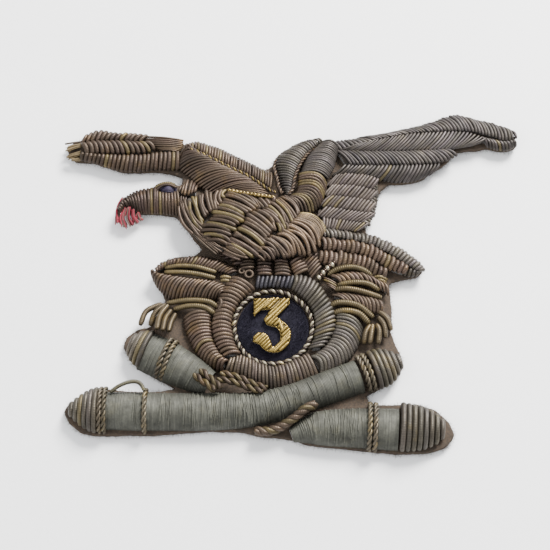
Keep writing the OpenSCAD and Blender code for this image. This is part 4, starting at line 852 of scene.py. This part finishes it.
row([(-3.9, 8.1), (-5.6, 6.8), (-7.2, 4.8), (-8.3, 2.4), (-8.6, 0), (-8.2, -2.6), (-7.4, -4.7),
     (-6.7, -5.9)],
    [(-8.6, 10.8), (-10.2, 8.6), (-11.2, 6.2), (-12, 3.2), (-12.5, 0), (-12.3, -2.2), (-11.5, -4.6),
     (-10.2, -6.6)], 21, BROWN * 1.2, 1.2, 1.2, 1.1, (0, 0.3), **HORN)
row([(-12.8, 2.8), (-12.8, 0.2), (-12.5, -2.2), (-11.7, -4.6), (-10.5, -6.6), (-9.2, -7.7)],
    [(-18.4, 1.8), (-17.9, -0.8), (-16.7, -3.8), (-15, -6.5), (-13, -8.4), (-10.4, -9.8)], 18, BROWN * 1.2,
    1.3, 0.3, 1.2, (-0.4, 0.5), **HORN)
finish("ring_left_purls")
row([(4, 8.1), (5.8, 6.8), (7.5, 4.8), (8.5, 2.4), (8.7, 0), (8.4, -2.6), (7.4, -4.8)],
    [(4.8, 11.4), (7.6, 10.8), (9.6, 9.2), (11, 6.8), (12.2, 4), (12.8, 1), (12, -2), (10, -4.8)], 21,
    HORN_GREY, 1.2, 1.2, 1.1, (0.35, -0.1), (0, 1, 0, 0.96), **HORN)
row([(7.8, -6.7), (9.6, -5.5), (11.3, -3.7), (12.3, -1.5), (12.9, 0.9), (12.9, 2.6)],
    [(9.8, -10.4), (12.4, -9.2), (14.8, -7.6), (16.4, -5.8), (17.7, -3.4), (18.2, -0.7)], 17, HORN_GREY,
    1.3, 0.4, 1.1, (0.8, 0.6), **HORN)
finish("ring_right_purls", *SILVER)
row([(-8.4, -7), (-6.6, -6.3), (-4.6, -7.2), (-2.4, -8.2), (0, -8.8), (2.3, -8.3), (4.6, -7.2),
     (6.8, -6.1)],
    [(-9.6, -10.2), (-7, -10.9), (-4.6, -11.9), (-2.2, -13), (0, -13.6), (3, -13), (6, -12), (9, -10.8)],
    25, BROWN * 0.6 + HORN_GREY * 0.4, 1.2, 0.4, 1.0, (0.1, 0), **HORN)
row([(-3.3, 8.4), (0, 8.7), (3.4, 8.4)],
    [(-2.8, 11.3), (0, 11.4), (4.2, 11.3)], 9, BLUE_GREY, 1.2, 1.2, 0.5, gilt=0.0)
finish("ring_bottom_purls")

# legs

LEG = dict(za=1.5, zb=1.5, crown=0.5, gilt=0.05, ragged=0.12)
row([(-3.3, 14.7), (-3.2, 11.6)], [(-0.4, 14.7), (-0.3, 11.5)], 5, BROWN_DARK, **LEG)
row([(0.3, 14.5), (0.4, 11.5)], [(3.1, 14.3), (3.7, 11.2)], 5, BROWN, mid=(0, 0.15), **LEG)
row([(3.5, 13.9), (4.5, 11.3)], [(6.3, 15.7), (7.3, 12.7)], 5, BROWN, **LEG)
row([(6.3, 13.9), (7.8, 10.6)], [(9, 17), (10, 13.4)], 6, BROWN, **LEG)
row([(-6.8, 14.3), (-6.6, 12.9)], [(-4, 14.5), (-3.8, 13.1)], 3, BROWN, **LEG)
row([(-10.8, 16), (-9.6, 15.2), (-8.4, 14)],
    [(-6.8, 16.2), (-6, 15.2), (-5.8, 14.2)], 4, BROWN_DARK, 1.0, 1.5, 0.5, ragged=0.3)
for cx, cy, big, thin in ((-5, 11.5, 0.78, 0.33), (-6.5, 12.2, 0.5, 0.26)):
    a = np.linspace(0, 2 * math.pi, 33)
    ring = np.column_stack([cx + big * np.cos(a), cy + big * np.sin(a),
                            np.full(33, FELT_TOP + 1.7)])
    tube(ring, thin, BROWN, closed=True)
finish("leg_purls")

# bell leaves, ties and tassels

row([(-25, 12.3), (-23.9, 14), (-22, 15), (-19, 15.7), (-15.6, 15.9), (-12.6, 15.5), (-10, 14.6),
     (-8, 13.4), (-7.2, 12.5)],
    [(-24.2, 12.1), (-23, 13), (-21.4, 13.6), (-18.4, 13.7), (-15.6, 13.4), (-13.2, 12.8), (-11.4, 12.3),
     (-10, 11.9), (-8.8, 11.5)], 25, BROWN, 0.25, 1.2, 0.8, (0.2, 0.2), (0.05, 1, 0, 0.95), pitch=0.26)
row([(-24.8, 11.9), (-22, 11.3), (-18, 10.8), (-14, 10.3), (-11.6, 9.8), (-9.7, 8.9), (-9.8, 7.6)],
    [(-24.9, 11), (-23.7, 8.8), (-22.1, 6.8), (-20, 6.1), (-17, 5.9), (-14, 5.9), (-11.2, 6.1)], 23, BROWN,
    1.2, 0.4, 1.3, (-0.4, 0.4), pitch=0.26)
strand([(-22.4, 13, 1.4), (-19.5, 13.2, 2.1), (-15.8, 12.9, 2.2), (-11.8, 11.9, 1.7)], 0.52, WORN_GILT)
strand([(-22.6, 12, 1.4), (-19.2, 11.8, 2), (-15.8, 11.4, 2.1), (-12, 10.6, 1.7)], 0.55, WORN_GILT * 0.95)
strand([(-10.9, 10.9, 1.4), (-9.9, 10.9, 1.7), (-8.7, 10.7, 1.4)], 0.42, WORN_GILT * 1.6)
strand([(-10.9, 10.1, 1.4), (-9.9, 10.1, 1.7), (-8.7, 9.9, 1.4)], 0.4, WORN_GILT * 1.5)
finish("left_leaf_purls")

strand([(-21.9, 5.2, 1), (-17.7, 5.5, 1.9), (-13.5, 5.1, 2.3), (-11.4, 4.1, 1.7)], 0.6, WORN_GILT * 0.9)
strand([(-20.5, 3.8, 1), (-17.4, 4.3, 1.8), (-14.3, 3.9, 2.2), (-12, 2.7, 1.7)], 0.6, WORN_GILT)
strand([(-10.9, 5.8, 2.2), (-10.6, 4.6, 2.5), (-11.2, 3.2, 2.2)], 0.4, BROWN)
finish("left_tie_purls", "gilt_wire")

row([(12, 11.3), (14.6, 11.8), (17, 12), (19, 11.6), (21, 10.6), (22.6, 9.9)],
    [(14.2, 9.4), (17.2, 9.6), (19.3, 9.4), (21.2, 8.7), (22.7, 7.8), (23.8, 6.9)], 12, BROWN, 1.2, 1.2,
    0.6, (0.3, 0.2), width=0.62, widest=0.7)
row([(12.2, 6.9), (14.6, 7.4), (17, 7), (19.4, 6.4), (21.6, 5.6)],
    [(15.4, 4.6), (17.3, 4), (18.9, 3.4), (20.5, 2.9), (22.2, 2.8)], 11, BROWN, 1.2, 1.1, 0.7, (0.4, 0.3),
    width=0.62, widest=0.7)
row([(10.2, 11), (11.2, 9.2)], [(13.2, 9.4), (13.3, 7.7)], 4, BROWN, 1.2, 1.3, 0.4, gilt=0.5)
strand([(11.3, 11.6, 1), (13.4, 12.6, 1.6), (16.2, 13, 1.9), (18.8, 12.4, 1.7), (20.6, 11.2, 1)], 0.66,
       WORN_GILT * 0.75)
strand([(20.8, 11, 1.1), (22.2, 11, 1.5), (23.7, 10.5, 1)], 0.4, WORN_GILT * 1.1)
strand([(21, 10.3, 1.1), (22.3, 10.3, 1.4), (23.5, 9.8, 1)], 0.36, WORN_GILT)
strand([(13.4, 9.3, 1.2), (17, 9.5, 2), (19.8, 9.1, 2), (21.9, 8, 1.3)], 0.64, WORN_GILT * 0.85)
strand([(12.8, 8.2, 1.2), (15.4, 8.1, 1.9), (18.6, 7.4, 2), (22.4, 6.3, 1.3)], 0.66,
       BROWN * 0.5 + OLIVE * 0.35)
strand([(11.6, 4.4, 1.2), (13.6, 5, 1.9), (17.4, 4.3, 2.1), (20.6, 1.9, 1.3)], 0.68, WORN_GILT * 0.85)
strand([(12.4, 2.9, 1.2), (14.8, 3.2, 1.9), (17.6, 2.5, 2.1), (19.7, 0.6, 1.3)], 0.7, WORN_GILT * 0.9)
finish("right_leaf_purls")

tassel_lines = [
    [(-22.2, 4.9, 1.2), (-24.2, 2.9, 1.6), (-25.2, 0.2, 1)],
    [(-21.6, 4.4, 1.9), (-23.1, 1.9, 2.4), (-23.6, -1.4, 3.3)],
    [(-20.9, 3.3, 1.9), (-22, 1.2, 2.4), (-22.4, -1.8, 3.5)],
    [(-20, 2.6, 1.7), (-20.8, 0.6, 2.2), (-21.2, -1.9, 3.4)],
    [(-22.9, 5.2, 0.7), (-26, 3.4, 1.2), (-27.2, 0.2, 1.5)],
    [(19.9, 0.2, 1.4), (18.9, -1.7, 1.8), (18.5, -3.9, 1.4)],
    [(20.4, 0.2, 1.7), (20.1, -1.7, 1.9), (19.7, -4, 1.6)],
    [(21.2, 0.3, 1.6), (21.7, -1.4, 1.9), (21.4, -4, 1.6)],
    [(21.6, 1.9, 1.6), (22.7, 0, 1.7), (23, -2.5, 1.3)],
    [(21.6, 3.4, 1.3), (23.4, 1.6, 1.4), (24.2, -0.8, 1)]]
for line in tassel_lines:
    strand(line, 0.62, (BROWN * 0.4 + WORN_GILT * 0.5) * rng.uniform(0.8, 1.2), 0.34, 0.16)
finish("tassels", "gilt_wire")

# pearls

for v in loose_parts("left_shoulder_pearls"):
    x, y, z = v.mean(0)
    path = [(x - 0.4, y + 0.35, z - 0.2), (x, y, z + 0.15), (x + 0.4, y - 0.35, z - 0.2)]
    tint = (GOLD * 0.45 + BROWN * 0.55) * rng.uniform(0.8, 1.25)
    tube(smooth_path(path), 0.48, tint, 0.26, 0.1, taper=0.6)
finish("left_shoulder_pearls", "gilt_wire", bright)
for v in loose_parts("leg_pearls"):
    x, y, z = v.mean(0)
    for shift, tint in ((0, PALE * 1.1), (0.55, BROWN_DARK)):
        x, y = x + shift * 0.7, y + shift * 0.75
        path = [(x - 0.35, y + 0.6, z - 0.25), (x, y, z + 0.1), (x + 0.3, y - 0.6, z - 0.25)]
        tube(smooth_path(path), 0.5, tint, 0.3, 0.06, taper=0.7)
finish("leg_pearls", "bright_purl", bright)

# cords of the wings

spine = [(-18.2, 41, 2.1), (-15.5, 39.8, 2.1), (-10, 36.8, 2.1), (-5, 34.1, 2.1),
         (-1.2, 31.2, 2.2), (0.6, 30, 2.6)]
twisted(smooth_path(at(spine)), 0.36, (BROWN_DARK, GOLD * 0.5), 1.5)
finish("left_spine_cord", "gilt_wire")

arm_1 = [(2, 29.6, 2.9), (1.3, 31.2, 2.6), (0.9, 33.6, 2.1), (0.4, 35.9, 1.5), (0.3, 37.7, 1.1),
         (1.2, 39.4, 0.9), (2.6, 40.8, 0.8)]
arm_2 = [(3.3, 29.3, 3.1), (4.2, 30.8, 3.1), (4.6, 33.4, 2.9), (5.3, 35.6, 2.7), (6, 37.2, 2.5),
         (7, 39, 2.2), (8.4, 40.9, 1.8), (9.6, 41.8, 1.5)]
for line in (arm_1, arm_2):
    twisted(smooth_path(at(line)), 0.4, (BROWN_DARK, BROWN * 1.5), 1.7)
finish("arm_cords", "gilt_wire")

# tongue of crimson threads

def wisp(line, near, far, bend, top):
    """A thread that strays from its line by near, and by far more towards its end."""
    path = smooth_path(at(line), 5)
    u = np.linspace(0, 1, len(path))[:, None]
    path = path + near + u ** bend * far
    path[:, 2] = np.clip(path[:, 2], FELT_TOP + 0.1, FELT_TOP + top)
    return path


strands = [[(-31.6, 29, 1.6), (-32.6, 27.4, 1.2), (-32.9, 26, 0.7), (-32.7, 24.4, 0.4)],
           [(-32.2, 27.8, 1.4), (-32.9, 26.2, 0.7), (-32.6, 24.2, 0.4)],
           [(-31.3, 27, 1.4), (-31.8, 24.9, 0.8), (-31.2, 23.2, 0.4)],
           [(-30.5, 27, 1.4), (-30.7, 25, 0.9), (-30, 23.6, 0.4)],
           [(-29.6, 26.6, 1.3), (-29.6, 25.3, 0.9), (-28.9, 24.2, 0.4)],
           [(-28.6, 25.9, 0.9), (-28.4, 25.2, 0.7), (-28, 24.7, 0.4)]]
for line in strands:
    for _ in range(18):
        path = wisp(line, rng.normal(0, 0.18, 3), rng.normal(0, 0.3, 3) * [1, 1, 0.4], 1.5, 2.6)
        shade = CRIMSON if rng.random() < 0.72 else BROWN
        tube(path, 0.14, shade * rng.uniform(0.65, 1.25), 0.4, 0.12, sides=6, groove=0.7)
finish("tongue", "red_thread", thread)

# eye

EYE_X, EYE_Y = -22.3, 31.7
for k in range(9):
    y = EYE_Y + (k - 4) * 0.24
    half = 1.75 * math.sqrt(max(0.1, 1 - ((k - 4) / 4.8) ** 2))
    high = 1.45 * math.sqrt(max(0.1, 1 - ((k - 4) / 5.4) ** 2))
    path = smooth_path(at([(EYE_X - half, y, 0.5), (EYE_X, y, high), (EYE_X + half, y, 0.5)]))
    tube(path, 0.17, linear(50, 40, 66) * rng.uniform(0.8, 1.2), 0.3, 0.08, sides=8)
finish("eye", "eye_thread", thread)

# worn wing tip, where the padding shows

tufts = [([(-41.4, 42.4, 0.75), (-43, 41.9, 0.8), (-44.4, 41.3, 0.7)], 0.5),
         ([(-41.4, 40.6, 0.75), (-43, 40, 0.8), (-44.2, 39.6, 0.7)], 0.5),
         ([(-41.2, 39.1, 0.65), (-42.3, 38.8, 0.7), (-43.2, 38.8, 0.65)], 0.4)]
tan = linear(112, 94, 62)
for line, wide in tufts:
    for _ in range(16):
        near = rng.normal(0, wide * 0.45, 3) * [1, 1, 0.7]
        path = wisp(line, near, rng.normal(0, 0.2, 3), 1, 1.5)
        tube(path, 0.11, tan * rng.uniform(0.7, 1.2), 0.4, 0.1, sides=6, groove=0.7)
for _ in range(5):
    path = smooth_path(at([(-41.8, 43.5, 0.5), (-43.6, 43.1, 0.7), (-45, 42.9, 0.6)]), 5)
    tube(path + rng.normal(0, 0.16, 3), 0.1, BROWN, 0.4, 0.1, sides=6)
finish("tip_padding", "cotton", thread)

# barrels wound with fine wire

# each point is x, y, half width and share of the full height
front_axis = [(-33.4, -17.9, 4, 1), (-25, -18.1, 4, 1), (-12, -18.1, 3.9, 1), (-4, -17.6, 3.6, 1),
              (3, -16, 3.4, 1), (10, -13.4, 3.5, 1), (17.4, -10.6, 3.6, 1)]
rear_left = [(-25.9, -5.1, 4.25, 0.93), (-25.1, -5.5, 4.3, 0.95), (-21.3, -7.4, 4.3, 0.9),
             (-17.6, -9.4, 3.9, 0.9), (-14.5, -11.2, 3.3, 0.85), (-12.6, -12.1, 2.6, 0.8)]
rear_right = [(3.6, -23, 1.6, 0.5), (7, -21.9, 2.9, 0.8), (10.6, -21.5, 3.7, 0.95),
              (18.6, -21.6, 4.2, 1), (25, -21.9, 4.4, 1)]
BARREL_HIGH = 3.3
TURN = 0.27


def barrel_curve(axis):
    """Axis, half width, height and running length of a tapered barrel."""
    a = np.array(axis, float)
    curve = smooth_path(a[:, :3], 10)
    high = np.interp(np.linspace(0, 1, len(curve)), np.linspace(0, 1, len(a)), a[:, 3])
    return curve, high * BARREL_HIGH, running_length(curve[:, :2])


def raised_wires(axis, count, first, last):
    """Single turns that stand a little proud of the winding between two shares of its length."""
    curve, high, run = barrel_curve(axis)
    for _ in range(count):
        u = np.linspace(rng.uniform(0.1, 1.3), rng.uniform(1.8, 3), 14)
        mid = run[-1] * rng.uniform(first, last)
        s = mid + rng.normal(0, 0.25) * np.cos(u) + 0.08 * np.sin(3 * u + rng.uniform(0, 6))
        x, y, w = points_at(curve, run, s).T
        h = np.interp(s, run, high)
        near = points_at(curve[:, :2], run, [mid - 0.5, mid + 0.5])
        d = near[1] - near[0]
        d /= np.linalg.norm(d)
        path = np.column_stack([x - d[1] * (w + 0.04) * np.cos(u), y + d[0] * (w + 0.04) * np.cos(u),
                                FELT_TOP + (h + 0.04) * np.sin(u)])
        tube(path, 0.11, GUN_GREY * rng.uniform(0.9, 1.5), 0.3, 0.05, sides=6)


def winding(axis):
    """A barrel wound with fine wire: each turn has its own lean, height and shade."""
    curve, high, run = barrel_curve(axis)
    turns = int(run[-1] / TURN)
    per, sides = 5, 22
    n = turns * per
    s = np.linspace(0, run[-1], n)
    x, y, w = points_at(curve, run, s).T
    h = np.interp(s, run, high)
    d = np.stack([np.gradient(x), np.gradient(y)], axis=1)
    d /= np.linalg.norm(d, axis=1, keepdims=True)
    side = np.stack([-d[:, 1], d[:, 0]], axis=1)
    turn = np.arange(n) // per
    phase = (np.arange(n) % per) / per
    crest = np.sin(math.pi * (phase + 0.1)) ** 0.8
    drift = np.cumsum(rng.normal(0, 0.02, turns + 1))
    drift -= np.linspace(drift[0], drift[-1], turns + 1)
    lean = (0.22 * np.sin(np.linspace(0, 9, turns + 1)) + drift)[turn]
    swell = rng.normal(0, 0.018, turns + 1)[turn]
    shade = rng.normal(1, 0.12, turns + 1)[turn]
    worn = 0.5 + 0.5 * np.sin(0.42 * s + 2.4)
    u = np.linspace(0, math.pi, sides + 1)[None, :]
    grow = ((0.05 + 0.07 * worn) * (crest - 1) + swell)[:, None]
    across = (w[:, None] + grow) * np.cos(u)
    height = np.maximum(0.02, (h[:, None] + grow) * np.sin(u))
    along = lean[:, None] * np.cos(u) * 0.5
    pts = np.stack([x[:, None] + side[:, :1] * across + d[:, :1] * along,
                    y[:, None] + side[:, 1:] * across + d[:, 1:] * along,
                    FELT_TOP + height], axis=-1)
    # Lighter towards the top of the barrel, darker down its sides.
    lighter_on_top = 0.9 + 0.25 * np.sin(u) ** 3
    # Painted shade in the hollows between turns; it is deepest at the sides of the barrel and varies along it
    # with worn.
    groove_shade = (0.4 + 0.5 * worn)[:, None] * (0.6 + 0.4 * np.cos(u) ** 2)
    tone = (1 - groove_shade * (1 - crest[:, None])) * shade[:, None] * lighter_on_top * 0.82
    m = sides + 1
    i, k = np.meshgrid(np.arange(n - 1), np.arange(sides), indexing="ij")
    q = i * m + k
    quads = np.stack([q, q + 1, q + m + 1, q + m], axis=-1).reshape(-1, 4)
    lay(pts.reshape(-1, 3), quads, (GUN_GREY * tone[..., None]).reshape(-1, 3))


for axis in (front_axis, rear_left, rear_right):
    winding(axis)
raised_wires(front_axis, 75, 0.3, 0.68)
raised_wires(front_axis, 40, 0.08, 0.95)
raised_wires(rear_left, 14, 0.1, 0.9)
raised_wires(rear_right, 45, 0.1, 0.75)
finish("barrel_windings", "grey_wire", dull)
hoops("barrel_bands", "gilt_wire", 0.56, linear(84, 77, 62), 2.6)
hoops("barrel_end_rings", "brown_wire", 0.6, linear(80, 75, 64))

# ropes

ropes = [[(-15.8, -11.2, 3.4), (-14.6, -12.4, 3.5), (-12.9, -13.6, 3.6), (-11.6, -14.8, 3.5)],
         [(-14.6, -10.2, 3.3), (-13.3, -11.5, 3.5), (-11.9, -12.8, 3.6), (-10.4, -14.2, 3.5)],
         [(-10.6, -10.6, 2.5), (-7.2, -11.5, 2.6), (-4.6, -12.7, 2.6), (-1.2, -14, 2.6)],
         [(-11.2, -11.8, 2.4), (-7.4, -12.7, 2.6), (-4.9, -13.8, 2.6), (-2, -14.8, 3)]]
stout_rope = [(-3.6, -22.4, 1.1), (-0.8, -22.5, 1.2), (1.8, -21.6, 1.7), (4.4, -20.1, 2.6),
              (6.4, -18.6, 3.4), (8.6, -17.4, 3)]
for line in ropes:
    twisted(smooth_path(at(line)), 0.8, (WORN_GILT * 0.75, BROWN * 0.8), 3.6)
twisted(smooth_path(at(stout_rope)), 1.05, (BROWN, WORN_GILT * 0.85, BROWN * 0.9), 4.4)
finish("rope_ties", "gilt_wire")

loop = [(-32.6, -14.8, 2.5), (-31, -13.7, 3), (-29.2, -12.9, 3.1), (-27.6, -12.7, 3.1),
        (-26.5, -13.2, 3), (-25.7, -14.6, 2.9)]
tube(smooth_path(at(loop)), 0.44, linear(86, 82, 66), 0.4, 0.2)
finish("loose_wire_loop", "gilt_wire")

# ------------ studio

paper, tree, shader = new_material("paper_floor")
grain = noise(tree, 900, 3)
tree.links.new(spread(tree, grain.outputs["Fac"], 0.55, 0.62), shader.inputs["Roughness"])
tones = two_tones(tree, grain.outputs["Fac"], [0.88] * 3, [0.92] * 3, 0.0, 1.0)
tree.links.new(tones, shader.inputs["Base Color"])

bpy.ops.mesh.primitive_plane_add(size=6, location=(0, 0, 0))
floor = bpy.context.object
floor.name = "floor"
floor.data.materials.append(paper)

world = bpy.data.worlds.new("studio")
bpy.context.scene.world = world
world.use_nodes = True
back = world.node_tree.nodes["Background"]
back.inputs["Color"].default_value = (0.95, 0.97, 1.0, 1)
back.inputs["Strength"].default_value = 1.32


def lamp(name, spot, target, size, power, colour=(1, 1, 1)):
    """A square lamp at spot, facing target; power in watts."""
    data = bpy.data.lights.new(name, "AREA")
    data.energy = power
    data.size = size
    data.color = colour
    ob = bpy.data.objects.new(name, data)
    ob.location = spot
    ob.rotation_euler = (Vector(target) - Vector(spot)).to_track_quat("-Z", "Y").to_euler()
    bpy.context.scene.collection.objects.link(ob)


lamp("key", (0.3, 0.5, 0.5), (0, 0.01, 0), 0.3, 23.0, (1, 0.99, 0.97))
lamp("fill", (-0.5, -0.2, 0.6), (0, 0, 0), 0.6, 3.0)

# camera

ELEVATION = math.radians(66)
DISTANCE = 0.330
aim = Vector((0.00041, 0.012768, 0))
camera = bpy.data.objects.new("camera", bpy.data.cameras.new("camera"))
camera.data.sensor_width = 36
camera.data.lens = 103
camera.location = aim + DISTANCE * Vector((0, -math.cos(ELEVATION), math.sin(ELEVATION)))
camera.rotation_euler = (aim - camera.location).to_track_quat("-Z", "Y").to_euler()
bpy.context.scene.collection.objects.link(camera)
bpy.context.scene.camera = camera
